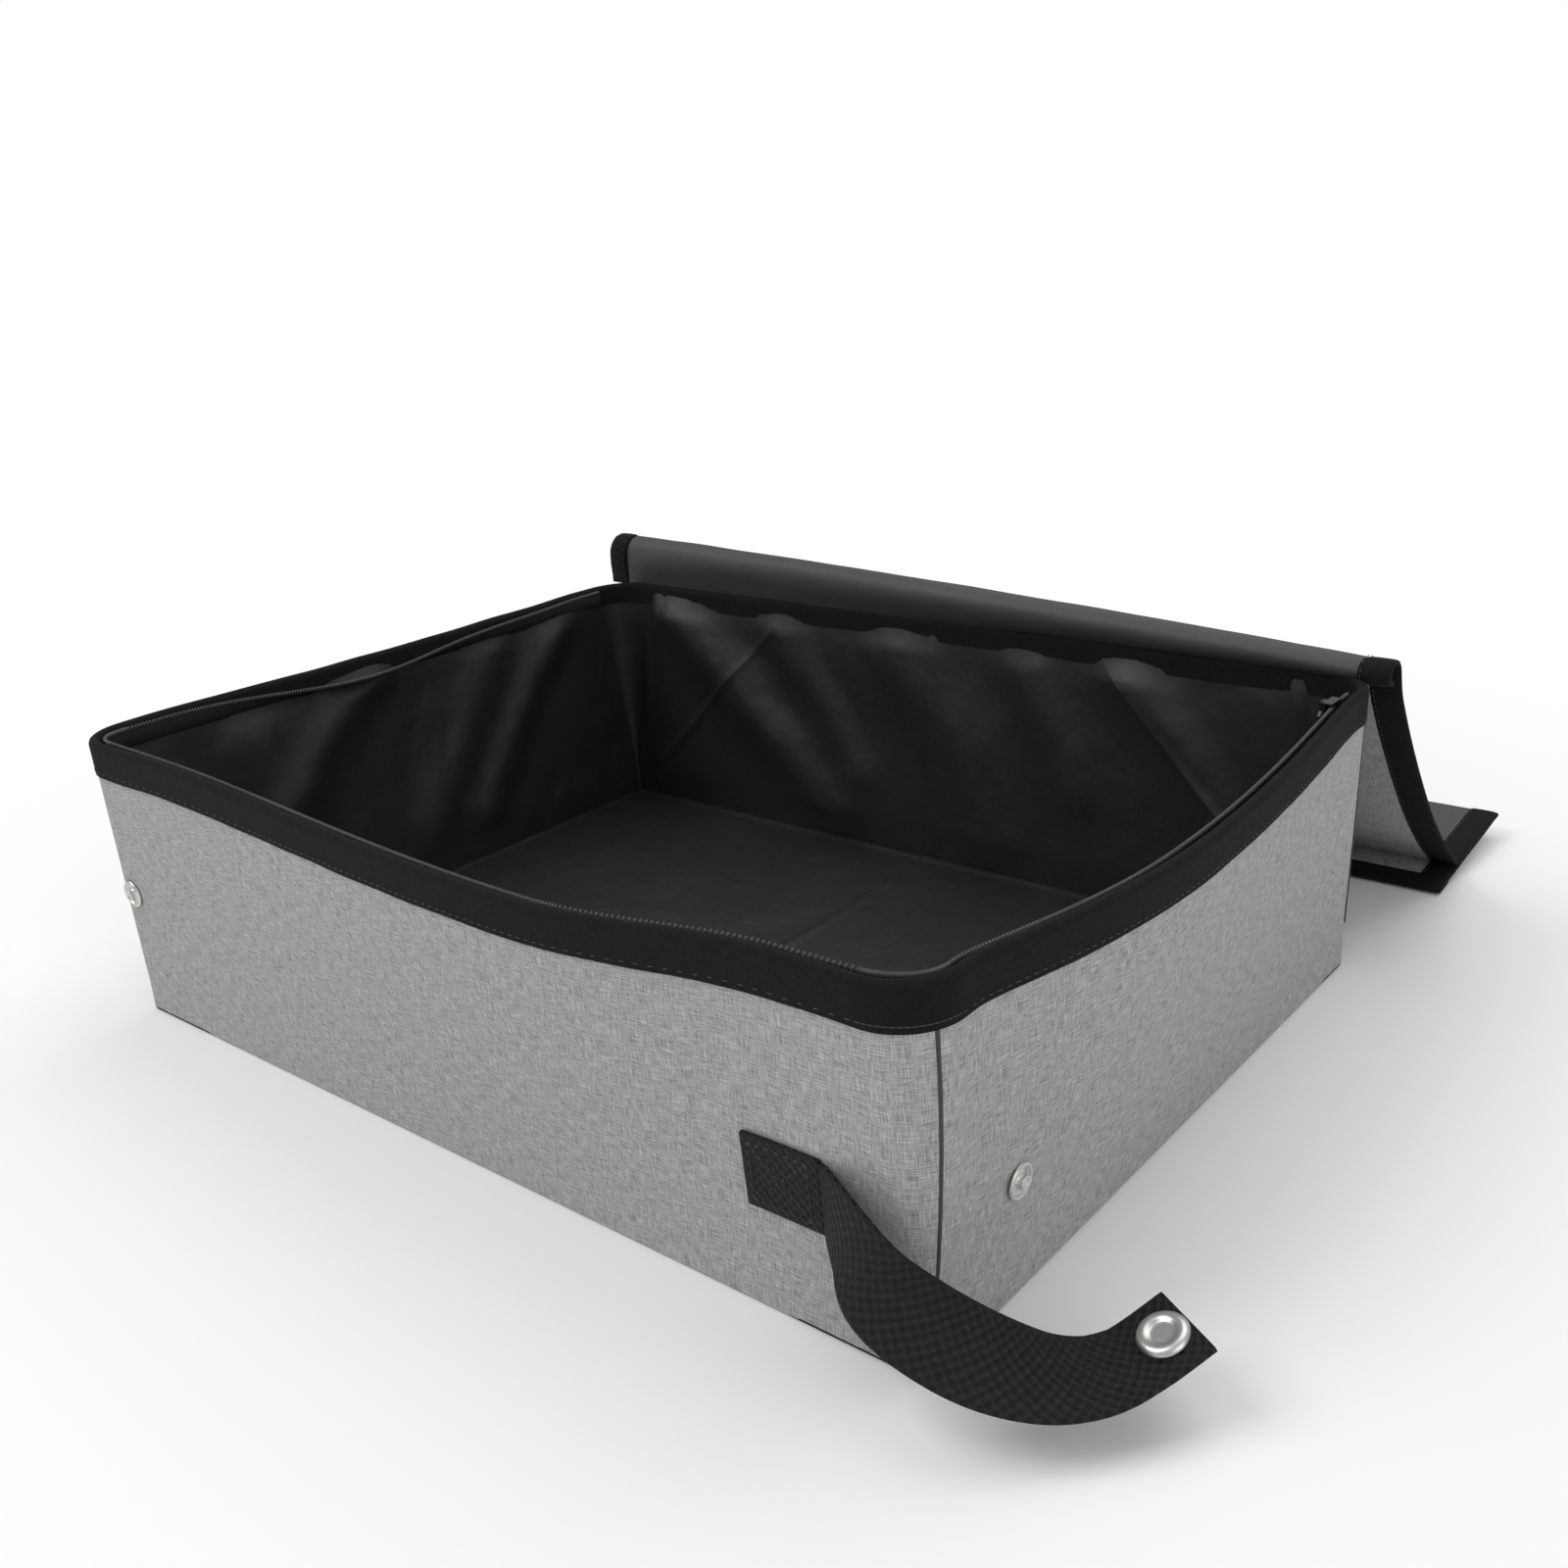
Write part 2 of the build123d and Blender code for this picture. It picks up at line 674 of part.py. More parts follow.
os.makedirs("parts", exist_ok=True)
everything = {**parts_of_tray(), **parts_of_lid(), **parts_of_fastenings()}
for name, solid in everything.items():
    export_step(solid, "parts/" + name + ".step")
print(len(everything), "pieces; hinge heights", round(end_hinge_z, 1), round(long_hinge_z, 1))
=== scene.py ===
# %% [markdown]
# # A fabric tray that folds flat
#
# The object is a shallow cloth box with boards in its walls, a glossy lining, black binding on its rim,
# a soft lid that zips on, and a strap with a snap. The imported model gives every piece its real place, so
# this lesson dresses that model: soft solids are replaced by sheets of cloth, and metal gets a finish.

# %% Load the fixed frame
import json
import math

import bmesh
import bpy
from mathutils import Matrix, Vector, noise


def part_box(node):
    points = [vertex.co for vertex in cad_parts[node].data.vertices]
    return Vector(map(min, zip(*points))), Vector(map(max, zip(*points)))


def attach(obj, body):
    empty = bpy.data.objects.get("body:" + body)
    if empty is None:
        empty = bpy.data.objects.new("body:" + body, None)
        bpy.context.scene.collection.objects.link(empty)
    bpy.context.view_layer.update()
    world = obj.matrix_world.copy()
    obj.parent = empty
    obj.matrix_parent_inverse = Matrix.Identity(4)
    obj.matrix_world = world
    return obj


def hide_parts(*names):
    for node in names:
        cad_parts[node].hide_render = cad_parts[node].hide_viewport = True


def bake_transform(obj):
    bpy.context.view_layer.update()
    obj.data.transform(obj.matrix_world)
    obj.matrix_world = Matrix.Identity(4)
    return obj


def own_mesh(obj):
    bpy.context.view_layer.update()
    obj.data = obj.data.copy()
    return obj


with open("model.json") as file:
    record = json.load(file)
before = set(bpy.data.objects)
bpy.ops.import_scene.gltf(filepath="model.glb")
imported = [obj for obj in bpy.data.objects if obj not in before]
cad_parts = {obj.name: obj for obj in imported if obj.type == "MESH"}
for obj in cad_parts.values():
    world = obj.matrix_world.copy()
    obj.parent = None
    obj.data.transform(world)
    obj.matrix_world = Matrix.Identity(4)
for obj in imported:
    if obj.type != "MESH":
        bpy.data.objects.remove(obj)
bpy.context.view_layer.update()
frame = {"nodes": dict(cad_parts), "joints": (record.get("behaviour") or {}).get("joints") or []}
hinge = {joint["name"]: Vector(joint["pos_m"]) for joint in frame["joints"] if "pos_m" in joint}

# %% [markdown]
# ## Sizes that all the cloth shares
#
# The walls lean outwards a little and their corners open from a tight radius at the floor to a wide one
# at the rim. A handful of named sizes, most of them read from the frame, is enough to place every sheet.

# %% Sizes of the tray, in metres
MM = 0.001
half_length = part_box("base_fabric")[1].x
half_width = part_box("base_fabric")[1].y
rim_height = 120 * MM
lean = math.radians(3.5)
wall_thickness = 3.2 * MM
binding_thickness = 0.7 * MM
floor_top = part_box("floor_lining")[1].z
end_hinge_height = hinge["end_wall_fold"].z
long_hinge_height = hinge["long_wall_fold"].z
foot_radius = 4 * MM
rim_radius = 22 * MM
mitre_foot = hinge["end_wall_fold"].x - (long_hinge_height - floor_top)
wall_names = ("right", "left", "front", "rear")
long_walls = ("front", "rear")
ends = ("right", "left")
turns = {"right": 0, "rear": 90, "left": 180, "front": 270}

# How far each wall swells and its rim dips at its fullest place, where that place is, how far the swell
# reaches from the middle of the wall, and the power that shapes it, as in the photograph.
swell = {"front": 8 * MM, "right": 12 * MM, "left": 4 * MM, "rear": 2 * MM}
dip = {"front": 2.4 * MM, "right": 2 * MM, "left": 1.5 * MM, "rear": 0}
swell_middle = {"front": 62 * MM, "rear": 0, "right": -33 * MM, "left": 0}
swell_reach = {"front": 156 * MM, "rear": 156 * MM, "right": 130 * MM, "left": 117 * MM}
fullness = {"front": 2, "rear": 2, "right": 1.25, "left": 1.5}

# The rim rises towards the front corners, along the end walls from just behind their middle.
front_rise = 2 * MM
rise_start = -20 * MM
rise_run = 150 * MM


def is_long(wall):
    """True for the front and rear walls, which are mitred."""
    return wall in long_walls


def hinge_height(wall):
    """Height of a wall's fold line."""
    return long_hinge_height if is_long(wall) else end_hinge_height


def outer_reach(wall, height):
    """Distance of a wall's outer face from the middle of the tray."""
    start = half_width if is_long(wall) else half_length
    return start + max(0.0, height - hinge_height(wall)) * math.tan(lean)


def middle_share(wall, along):
    """1 at the fullest place of a wall, easing to 0 before its corners."""
    away = along - swell_middle[wall]
    reach = swell_reach[wall] - math.copysign(1, away) * swell_middle[wall]
    share = min(1.0, abs(away) / abs(reach))
    return (1 - share * share) ** fullness[wall]


def rise(wall, along, climb):
    """How far a place stands above its level, at a share climb of the wall's height."""
    if wall == "rear":
        return 0.0
    if wall == "front":
        return front_rise * climb ** 2 * (1 - middle_share(wall, along))
    towards_front = -along if wall == "right" else along
    share = min(1.0, max(0.0, (towards_front - rise_start) / rise_run))
    return front_rise * climb ** 2 * share * share * (3 - 2 * share)


def swollen(wall, along, height):
    """How far a wall's swell pushes a place outwards, and the height that its dip and rise give it."""
    climb = max(0.0, height / rim_height)
    middle = middle_share(wall, along)
    push = swell[wall] * middle * math.sin(min(1.0, climb) * math.pi / 2)
    return push, height - dip[wall] * middle * climb ** 2 + rise(wall, along, climb)


def wall_axes(wall):
    """Directions outwards from a wall and along it."""
    angle = math.radians(turns[wall])
    return Vector((math.cos(angle), math.sin(angle), 0)), Vector((-math.sin(angle), math.cos(angle), 0))


def wall_point(wall, along, height, out):
    """A point of a wall: along it, above the floor, and outwards from its outer face."""
    outward, forward = wall_axes(wall)
    push, level = swollen(wall, along, height)
    reach = outer_reach(wall, height) + out / math.cos(lean) + push
    return outward * reach + forward * along + Vector((0, 0, level))


def corner_radius(height):
    """Radius of a corner's outer face, growing from the floor band to the rim."""
    climb = max(0.0, (height - long_hinge_height) / (rim_height - long_hinge_height))
    return foot_radius + (rim_radius - foot_radius) * climb


def mitre(height):
    """Half length of a long wall between its diagonal creases, at a height."""
    return mitre_foot - max(0.0, height - long_hinge_height) / math.cos(lean)


def end_reach(height):
    """Half length of an end wall between its corners, at a height."""
    return outer_reach("rear", height) - corner_radius(height)


def half_reach(wall, height):
    """Half length of a wall's own sheets at a height."""
    return mitre(height) if is_long(wall) else end_reach(height)


arc_share = 0.45


def corner_along(wall, end, x):
    """Place along a long wall of a corner's point at x from the middle of the tray."""
    return x if (end == "right") == (wall == "front") else -x


def corner_point(wall, end, share, height, out, start):
    """A point of a corner: share 0 is at the end wall, 1 is at start, along the long wall."""
    radius = corner_radius(height)
    centre_x = outer_reach("right", height) - radius
    centre_y = outer_reach(wall, height) - radius
    turn = radius + out / math.cos(lean)
    if share < arc_share:
        angle = math.pi / 2 * share / arc_share
        x = centre_x + turn * math.cos(angle)
        y = centre_y + turn * math.sin(angle)
    else:
        x = centre_x + (start - centre_x) * (share - arc_share) / (1 - arc_share)
        y = centre_y + turn
    push, level = swollen(wall, corner_along(wall, end, x), height)
    y += push
    return Vector((x if end == "right" else -x, y if wall == "rear" else -y, level))


def mirrored(wall, end):
    """True where a corner's sheets come out with their faces turned in."""
    return (wall == "rear") != (end == "right")


# %% [markdown]
# ## Turning a grid into cloth
#
# A sheet of cloth is a flat grid whose vertices are moved to their places. Its UV map is kept in metres,
# so that a weave has its true scale on every sheet and runs with the threads. A Solidify modifier gives
# the sheet its thickness, which is simpler than modelling two sides.

# %% Helpers for sheets and rows of small pieces
def finish_mesh(maker, name, material, smooth=True):
    """Turns a bmesh into an object at the origin."""
    mesh = bpy.data.meshes.new(name)
    maker.to_mesh(mesh)
    maker.free()
    mesh.materials.append(material)
    for polygon in mesh.polygons:
        polygon.use_smooth = smooth
    piece = bpy.data.objects.new(name, mesh)
    bpy.context.scene.collection.objects.link(piece)
    return piece


def oblong(width, height):
    """The chart of a rectangle: the place on the flat cloth of each point of a grid."""
    return lambda u, v: (u * width, v * height)


def placed_grid(columns, rows, place, chart):
    """A bmesh grid with its vertices at place(u, v), for u and v from 0 to 1, and its UV map from chart."""
    maker = bmesh.new()
    bmesh.ops.create_grid(maker, x_segments=columns, y_segments=rows, size=0.5)
    layer = maker.loops.layers.uv.new("UVMap")
    for face in maker.faces:
        for loop in face.loops:
            loop[layer].uv = chart(loop.vert.co.x + 0.5, loop.vert.co.y + 0.5)
    for vertex in maker.verts:
        vertex.co = place(vertex.co.x + 0.5, vertex.co.y + 0.5)
    return maker


def cloth(name, material, columns, rows, place, chart, thickness=0.6 * MM, turned=False, offset=-1):
    """A sheet of cloth, with a hard edge all round."""
    maker = placed_grid(columns, rows, place, chart)
    if turned:
        bmesh.ops.reverse_faces(maker, faces=maker.faces)
    for edge in maker.edges:
        edge.smooth = not edge.is_boundary
    piece = finish_mesh(maker, name, material)
    solid = piece.modifiers.new("Thickness", "SOLIDIFY")
    solid.thickness = thickness
    solid.offset = offset
    return piece


def tube(name, material, columns, around, place, chart):
    """A closed strip: place(u, angle) gives the point of its section at each angle."""
    maker = placed_grid(columns, around, lambda u, v: place(u, v * 2 * math.pi), chart)
    bmesh.ops.remove_doubles(maker, verts=maker.verts, dist=0.01 * MM)
    bmesh.ops.holes_fill(maker, edges=maker.edges, sides=0)
    bmesh.ops.recalc_face_normals(maker, faces=maker.faces)
    return finish_mesh(maker, name, material)


def lying(point, ahead, side, sizes):
    """Matrix of a small piece at a point, with its first axis ahead and its second to the side."""
    ahead = ahead.normalized()
    upright = ahead.cross(side).normalized()
    side = upright.cross(ahead)
    turn = Matrix((ahead, side, upright)).transposed().to_4x4()
    return Matrix.Translation(point) @ turn @ Matrix.Diagonal((*sizes, 1))


stitch_pitch = 3.4 * MM
stitch_size = (1.15 * MM, 0.22 * MM, 0.22 * MM)
stitch_step = 0.002
nearly_upright = Vector((0.01, 0.02, 1))  # A vertical row still has a side to turn to.


def sewn_line(name, material, path, length, pitch=stitch_pitch, size=stitch_size):
    """A row of small rounded pieces, such as stitches or teeth, along path(share)."""
    count = max(2, int(length / pitch))
    maker = bmesh.new()
    for index in range(count):
        share = (index + 0.5) / count
        ahead = path(min(1.0, share + stitch_step)) - path(max(0.0, share - stitch_step))
        place = lying(path(share), ahead, nearly_upright, size)
        bmesh.ops.create_uvsphere(maker, u_segments=6, v_segments=4, radius=1, matrix=place)
    return finish_mesh(maker, name, material)


def dress(piece, slot_name, *nodes, body=None):
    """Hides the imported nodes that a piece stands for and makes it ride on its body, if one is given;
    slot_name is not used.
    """
    if body:
        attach(piece, body)
    if nodes:
        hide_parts(*nodes)


def ripple(x, y, seed):
    """Smooth unevenness between about -1 and 1."""
    return noise.noise(Vector((x, y, seed)))


# %% [markdown]
# ## Patterns that several finishes share
#
# Linen, binding, webbing and coated lining are all woven, so one node group draws crossed threads and the
# finishes place it with their own thread widths. A second group gives fine grain, used for lint on cloth,
# wear on enamel and scuffs on metal.

# %% Shader groups
def plug(tree, target, inputs):
    """Gives inputs of a node their values; a value that is a socket is linked."""
    for key, value in inputs.items():
        if isinstance(value, bpy.types.NodeSocket):
            tree.links.new(value, target.inputs[key])
        else:
            target.inputs[key].default_value = value


def node(tree, kind, inputs=None, **settings):
    """A new node with its settings and its inputs."""
    made = tree.nodes.new(kind)
    for key, value in settings.items():
        setattr(made, key, value)
    plug(tree, made, inputs or {})
    return made


def maths(tree, operation, first, second=0.0):
    """Result of a Math node fed by two sockets or numbers."""
    return node(tree, "ShaderNodeMath", {0: first, 1: second}, operation=operation).outputs[0]


def new_group(name, inputs, outputs):
    """An empty shader group with float inputs and outputs, and a Vector input first."""
    group = bpy.data.node_groups.new(name, "ShaderNodeTree")
    group.interface.new_socket(name="Vector", in_out="INPUT", socket_type="NodeSocketVector")
    for label, value in inputs.items():
        socket = group.interface.new_socket(name=label, in_out="INPUT", socket_type="NodeSocketFloat")
        socket.default_value = value
    for label in outputs:
        group.interface.new_socket(name=label, in_out="OUTPUT", socket_type="NodeSocketFloat")
    return group, node(group, "NodeGroupInput").outputs, node(group, "NodeGroupOutput")


def build_weave():
    """Crossed threads: Shade varies from thread to thread, Height is the over and under of the weave.

    Regular goes from 0, a slubby linen, to 1, an even waffle."""
    sockets = {"Pitch": 0.0006, "Length": 8.0, "Regular": 0.0}
    group, entry, leave = new_group("Woven threads", sockets, ("Shade", "Height"))
    split = node(group, "ShaderNodeSeparateXYZ", {0: entry["Vector"]})
    across, up = (maths(group, "DIVIDE", split.outputs[axis], entry["Pitch"]) for axis in (0, 1))
    slow_across, slow_up = (maths(group, "DIVIDE", way, entry["Length"]) for way in (across, up))
    shades = []
    for fast, slow in ((across, slow_up), (slow_across, up)):
        join = node(group, "ShaderNodeCombineXYZ", {0: fast, 1: slow})
        uneven = {"Vector": join.outputs[0], "Scale": 1.0, "Detail": 3.0, "Roughness": 0.7}
        shades.append(node(group, "ShaderNodeTexNoise", uneven).outputs[0])
    both = maths(group, "ADD", *shades)
    waves = [maths(group, "SINE", maths(group, "MULTIPLY", way, math.pi)) for way in (across, up)]
    over = maths(group, "MULTIPLY", *waves)
    waffle = maths(group, "MULTIPLY", maths(group, "MULTIPLY", over, 0.2), entry["Regular"])
    slub = maths(group, "MULTIPLY", both, maths(group, "SUBTRACT", 1, entry["Regular"]))
    shade = maths(group, "ADD", maths(group, "MULTIPLY", both, 0.5), waffle)
    height = maths(group, "ADD", maths(group, "MULTIPLY", over, 0.5), slub)
    plug(group, leave, {"Shade": shade, "Height": height})
    return group


def build_grain():
    """Fine uneven grain: Speck picks out scattered marks, Height is a soft unevenness."""
    group, entry, leave = new_group("Fine grain", {"Scale": 400.0, "Amount": 0.5}, ("Speck", "Height"))
    uneven = {"Vector": entry["Vector"], "Scale": entry["Scale"], "Detail": 4.0, "Roughness": 0.6}
    soft = node(group, "ShaderNodeTexNoise", uneven).outputs[0]
    peaks = maths(group, "MAXIMUM", maths(group, "SUBTRACT", soft, 0.58), 0.0)
    speck = maths(group, "MULTIPLY", maths(group, "MULTIPLY", peaks, 6.0), entry["Amount"])
    plug(group, leave, {"Speck": speck, "Height": soft})
    return group


weave = build_weave()
grain = build_grain()

# %% [markdown]
# ## Finishes
#
# Each finish is one material: the shared groups feed its colour, roughness and bump, and what is the same
# all over, such as how much it reflects, is set on the shader. The heather linen mixes pale and dark
# threads. The coated lining is black and smooth, so its folds show only in their highlights.

# %% Materials
def blank(name):
    """A new material, with its tree and its shader."""
    material = bpy.data.materials.new(name)
    material.use_nodes = True
    return material, material.node_tree, material.node_tree.nodes["Principled BSDF"]


def grained(tree, vector, scale, amount):
    """Outputs of the fine grain at a scale."""
    inputs = {"Vector": vector, "Scale": scale, "Amount": amount}
    return node(tree, "ShaderNodeGroup", inputs, node_tree=grain).outputs


def between(tree, factor, dark, light):
    """A colour between two."""
    inputs = {"A": (*dark, 1), "B": (*light, 1), "Factor": factor}
    return node(tree, "ShaderNodeMix", inputs, data_type="RGBA").outputs["Result"]


def dulled(tree, value, least, most):
    """A roughness between two, which a value from 0 to 1 chooses."""
    inputs = {"To Min": least, "To Max": most, "Value": value}
    return node(tree, "ShaderNodeMapRange", inputs).outputs[0]


def relief(tree, height, strength, distance):
    """A Bump node."""
    inputs = {"Height": height, "Strength": strength, "Distance": distance}
    return node(tree, "ShaderNodeBump", inputs)


def finish_of(
    name, dark, light, roughness, pitch, length, bump, space="UV", regular=0.0, specular=0.5, creased=False
):
    """A woven finish between two colours, with lint and a bump from its threads.

    A creased one takes broad creases and fine crinkles into its bump as well."""
    material, tree, shader = blank(name)
    place = node(tree, "ShaderNodeTexCoord").outputs
    weaving = {"Vector": place[space], "Pitch": pitch, "Length": length, "Regular": regular}
    threads = node(tree, "ShaderNodeGroup", weaving, node_tree=weave).outputs
    lint = grained(tree, place[space], 260.0, 0.4)
    spread = {"From Min": 0.36, "From Max": 0.64, "Value": threads["Shade"]}
    mix = node(tree, "ShaderNodeMapRange", spread).outputs[0]
    skin = relief(tree, threads["Height"], bump, pitch * 0.5)
    if creased:
        folded = relief(tree, grained(tree, place["Object"], 22.0, 1.0)["Height"], 0.35, 4 * MM)
        plug(tree, folded, {"Normal": skin.outputs[0]})
        skin = folded
    looks = {
        "Base Color": between(tree, mix, dark, light),
        "Roughness": dulled(tree, lint["Height"], roughness, min(1.0, roughness + 0.18)),
        "Specular IOR Level": specular,
        "Normal": skin.outputs[0],
    }
    plug(tree, shader, looks)
    return material


def hard_finish(name, colour, roughness, metallic, wear, coat=0.0):
    """A metal or enamel finish with fine scuffs that lighten it and dull its gloss."""
    material, tree, shader = blank(name)
    scuffs = grained(tree, node(tree, "ShaderNodeTexCoord").outputs["Object"], 900.0, wear)
    worn = [min(1.0, part + 0.25) for part in colour]
    looks = {
        "Base Color": between(tree, scuffs["Speck"], colour, worn),
        "Roughness": dulled(tree, scuffs["Height"], roughness, roughness + 0.2),
        "Metallic": metallic,
        "Coat Weight": coat,
        "Normal": relief(tree, scuffs["Height"], 0.08, 0.3 * MM).outputs[0],
    }
    plug(tree, shader, looks)
    return material


def grey(value):
    """A neutral colour."""
    return (value, value, value)


pale_linen, dark_linen = (0.57, 0.57, 0.573), (0.15, 0.15, 0.151)
linen = finish_of("Heather linen", dark_linen, pale_linen, 0.85, 0.38 * MM, 16.0, 0.5, specular=0.3)
binding = finish_of("Black binding", grey(0.003), grey(0.01), 0.8, 0.7 * MM, 2.0, 0.6, specular=0.2)
zip_cloth = finish_of("Zip tape", grey(0.007), grey(0.02), 0.75, 0.5 * MM, 3.0, 0.5)
board = finish_of("Stiff board", grey(0.035), grey(0.07), 0.6, 1.2 * MM, 1.0, 0.2)
webbing = finish_of(
    "Waffle webbing", grey(0.001), grey(0.012), 0.6, 1.7 * MM, 1.5, 1.0, regular=0.9, specular=0.3
)
thread = finish_of("Sewing thread", grey(0.02), grey(0.06), 0.6, 0.2 * MM, 3.0, 0.3, space="Object")
coated = {"pitch": 0.5 * MM, "length": 1.0, "bump": 0.12, "specular": 0.55, "creased": True}
lining = finish_of("Glossy lining", grey(0.008), grey(0.014), 0.38, **coated)
# The lid's lining is the same black coated cloth, made rougher; its lighter grey colour is painted sheen
# that stands in for the white surround reflected in it.
lid_lining_painted_sheen = finish_of("Lid lining painted sheen", grey(0.035), grey(0.055), 0.5, **coated)
nickel = hard_finish("Nickel plate", (0.62, 0.61, 0.59), 0.24, 1.0, 0.4)
enamel = hard_finish("Black enamel", (0.02, 0.02, 0.021), 0.3, 0.6, 0.6, coat=0.3)
nylon = hard_finish("Nylon coil", (0.06, 0.06, 0.062), 0.35, 0.0, 0.3)
print("materials", len(bpy.data.materials))

# %% [markdown]
# ## Outer cloth of the walls
#
# One length of grey linen covers each wall from the floor to the rim. It stands upright below the fold
# line and leans outwards above it. The boards inside are bent to the same swell.

# %% Wall cloth and boards
cloth_top = rim_height - 1.2 * MM
fold_spread = 3 * MM
mark_start, mark_slant = 7 * MM, 0.3
mark_depth, mark_width, mark_fade = 0.7 * MM, 3.5 * MM, 20 * MM


def fold_mark(wall, along, height):
    """Depth of the faint slanting mark that folding has left across the right wall."""
    if wall != "right":
        return 0.0
    away = (along - mark_start - mark_slant * height) / mark_width
    return mark_depth * math.exp(-(away ** 2)) * min(1.0, height / mark_fade)


def fold_with_floor(piece, wall):
    """Bakes the transform of a wall's sheet into its mesh."""
    low = wall_point(wall, 0, hinge_height(wall) - fold_spread, 0)
    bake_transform(piece)


def wall_cloth(wall):
    """Outer cloth of a wall."""

    def chart(u, v):
        height = cloth_top * v
        return ((2 * u - 1) * half_reach(wall, height), height)

    def place(u, v):
        along, height = chart(u, v)
        return wall_point(wall, along, height, -fold_mark(wall, along, height))

    low_length, high_length = 2 * half_reach(wall, 0), 2 * half_reach(wall, cloth_top)
    piece = cloth(wall + "_wall_cloth", linen, 96, 40, place, chart)
    fold_with_floor(piece, wall)
    dress(piece, "grey_linen", wall + "_wall_fabric")


def stiffener(name, wall, near, far, node_name):
    """A wall board bent to the swell of its wall, from near to far as shares of the half length."""
    low = hinge_height(wall) + 3 * MM
    high = rim_height - 2 * MM
    inset = 1 * MM

    def place(u, v):
        height = low + (high - low) * v
        reach = half_reach(wall, height) - inset
        return wall_point(wall, (near + (far - near) * u) * reach, height, -inset)

    chart = oblong(abs(far - near) * half_reach(wall, low), high - low)
    piece = cloth(name, board, 40, 16, place, chart, 1.4 * MM)
    dress(piece, "board", node_name, body=wall + "_wall")


for wall in wall_names:
    wall_cloth(wall)
for wall in ("right", "left"):
    stiffener(wall + "_stiffener", wall, -1, 1, wall + "_wall_board")
board_gap = 0.012
stiffener("front_stiffener_right", "front", board_gap, 1, "front_board_right")
stiffener("front_stiffener_left", "front", -1, -board_gap, "front_board_left")
stiffener("rear_stiffener_left", "rear", board_gap, 1, "rear_board_left")
stiffener("rear_stiffener_right", "rear", -1, -board_gap, "rear_board_right")

# %% [markdown]
# ## Corners
#
# The corner cloth is a gusset: it goes from the diagonal crease of a long wall round to the end wall, and
# lies flat on the long wall when that folds. It rides on the long wall. Its lowest band belongs to the
# floor, so it is a sheet of its own.


def corner_sheet(wall, end, low, high, out, crumpled):
    """A place function for a corner sheet between two heights, from the end wall to the mitre."""

    def place(u, v):
        height = low + (high - low) * v
        loose = crumpled(wall, end, u, height) if crumpled else 0.0
        return corner_point(wall, end, u, height, out - loose, mitre(height))

    return place


def corner_width(share, height):
    """Distance on the flat cloth of a corner's point from the middle of its long wall."""
    radius = corner_radius(height)
    centre = outer_reach("right", height) - radius
    if share < arc_share:
        return centre + radius * math.pi / 2 * (1 - share / arc_share)
    return centre + (mitre(height) - centre) * (share - arc_share) / (1 - arc_share)


def corner_chart(low, high):
    """Place on the flat cloth of each point of a corner's sheet."""

    def chart(u, v):
        height = low + (high - low) * v
        return (corner_width(u, height), height)

    return chart


def fold_corner(piece, wall):
    """Makes a piece ride on the long wall, with a mesh of its own."""
    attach(piece, wall + "_wall")
    anchor = wall_point(wall, 0, long_hinge_height, -wall_thickness / 2)
    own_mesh(piece)


def corner_pair(wall, end, kind, material, out, top, node_name, slot_name, crumpled=None):
    """A corner's gusset above the fold line and its foot below it."""
    name = f"corner_{kind}_{wall}_{end}"
    inside = out < 0
    bottom = floor_top if inside else 0.0
    pieces = []
    for label, columns, rows, low, high, loose in (
        (name, 60, 36, long_hinge_height, top, crumpled),
        (name + "_foot", 20, 6, bottom, long_hinge_height, None),
    ):
        place = corner_sheet(wall, end, low, high, out, loose)
        turned = mirrored(wall, end) != inside
        piece = cloth(label, material, columns, rows, place, corner_chart(low, high), turned=turned)
        pieces.append(piece)
    gusset, foot = pieces
    fold_corner(gusset, wall)
    dress(gusset, slot_name, node_name)
    dress(foot, slot_name, body="base")
    low_width = corner_width(0, long_hinge_height) - mitre(long_hinge_height)
    high_width = corner_width(0, top) - mitre(top)


def corner_seam(wall, end):
    """The raised seam that runs down a corner."""
    radius, flatness = 0.7 * MM, 0.6
    low, high = long_hinge_height, rim_height - 10 * MM

    def place(u, angle):
        height = low + (high - low) * u
        climb = (height - low) / (rim_height - low)
        centre = corner_point(wall, end, arc_share * (0.05 + 0.3 * climb), height, 0, 0)
        inward = Vector((-centre.x, -centre.y, 0)).normalized()
        side = Vector((-inward.y, inward.x, 0))
        return centre + (side * math.cos(angle) + inward * math.sin(angle) * flatness) * radius

    chart = oblong(high - low, 2 * math.pi * radius)
    seam = tube(f"corner_seam_{wall}_{end}", thread, 30, 8, place, chart)
    fold_corner(seam, wall)
    dress(seam, "grey_linen")


for wall in long_walls:
    for end in ends:
        corner_pair(wall, end, "cloth", linen, 0.0, cloth_top, f"corner_fabric_{wall}_{end}", "grey_linen")
        corner_seam(wall, end)
print("corners dressed")

# %% [markdown]
# ## The glossy lining
#
# The coated lining is looser than the outer cloth, and its folds are the liveliest part of the object.
# Each fold is a soft ridge along a line of two or three points, placed where the photograph shows it, and
# the same ridge is felt by the wall's sheet and by the corner beside it. A little noise adds the rest.

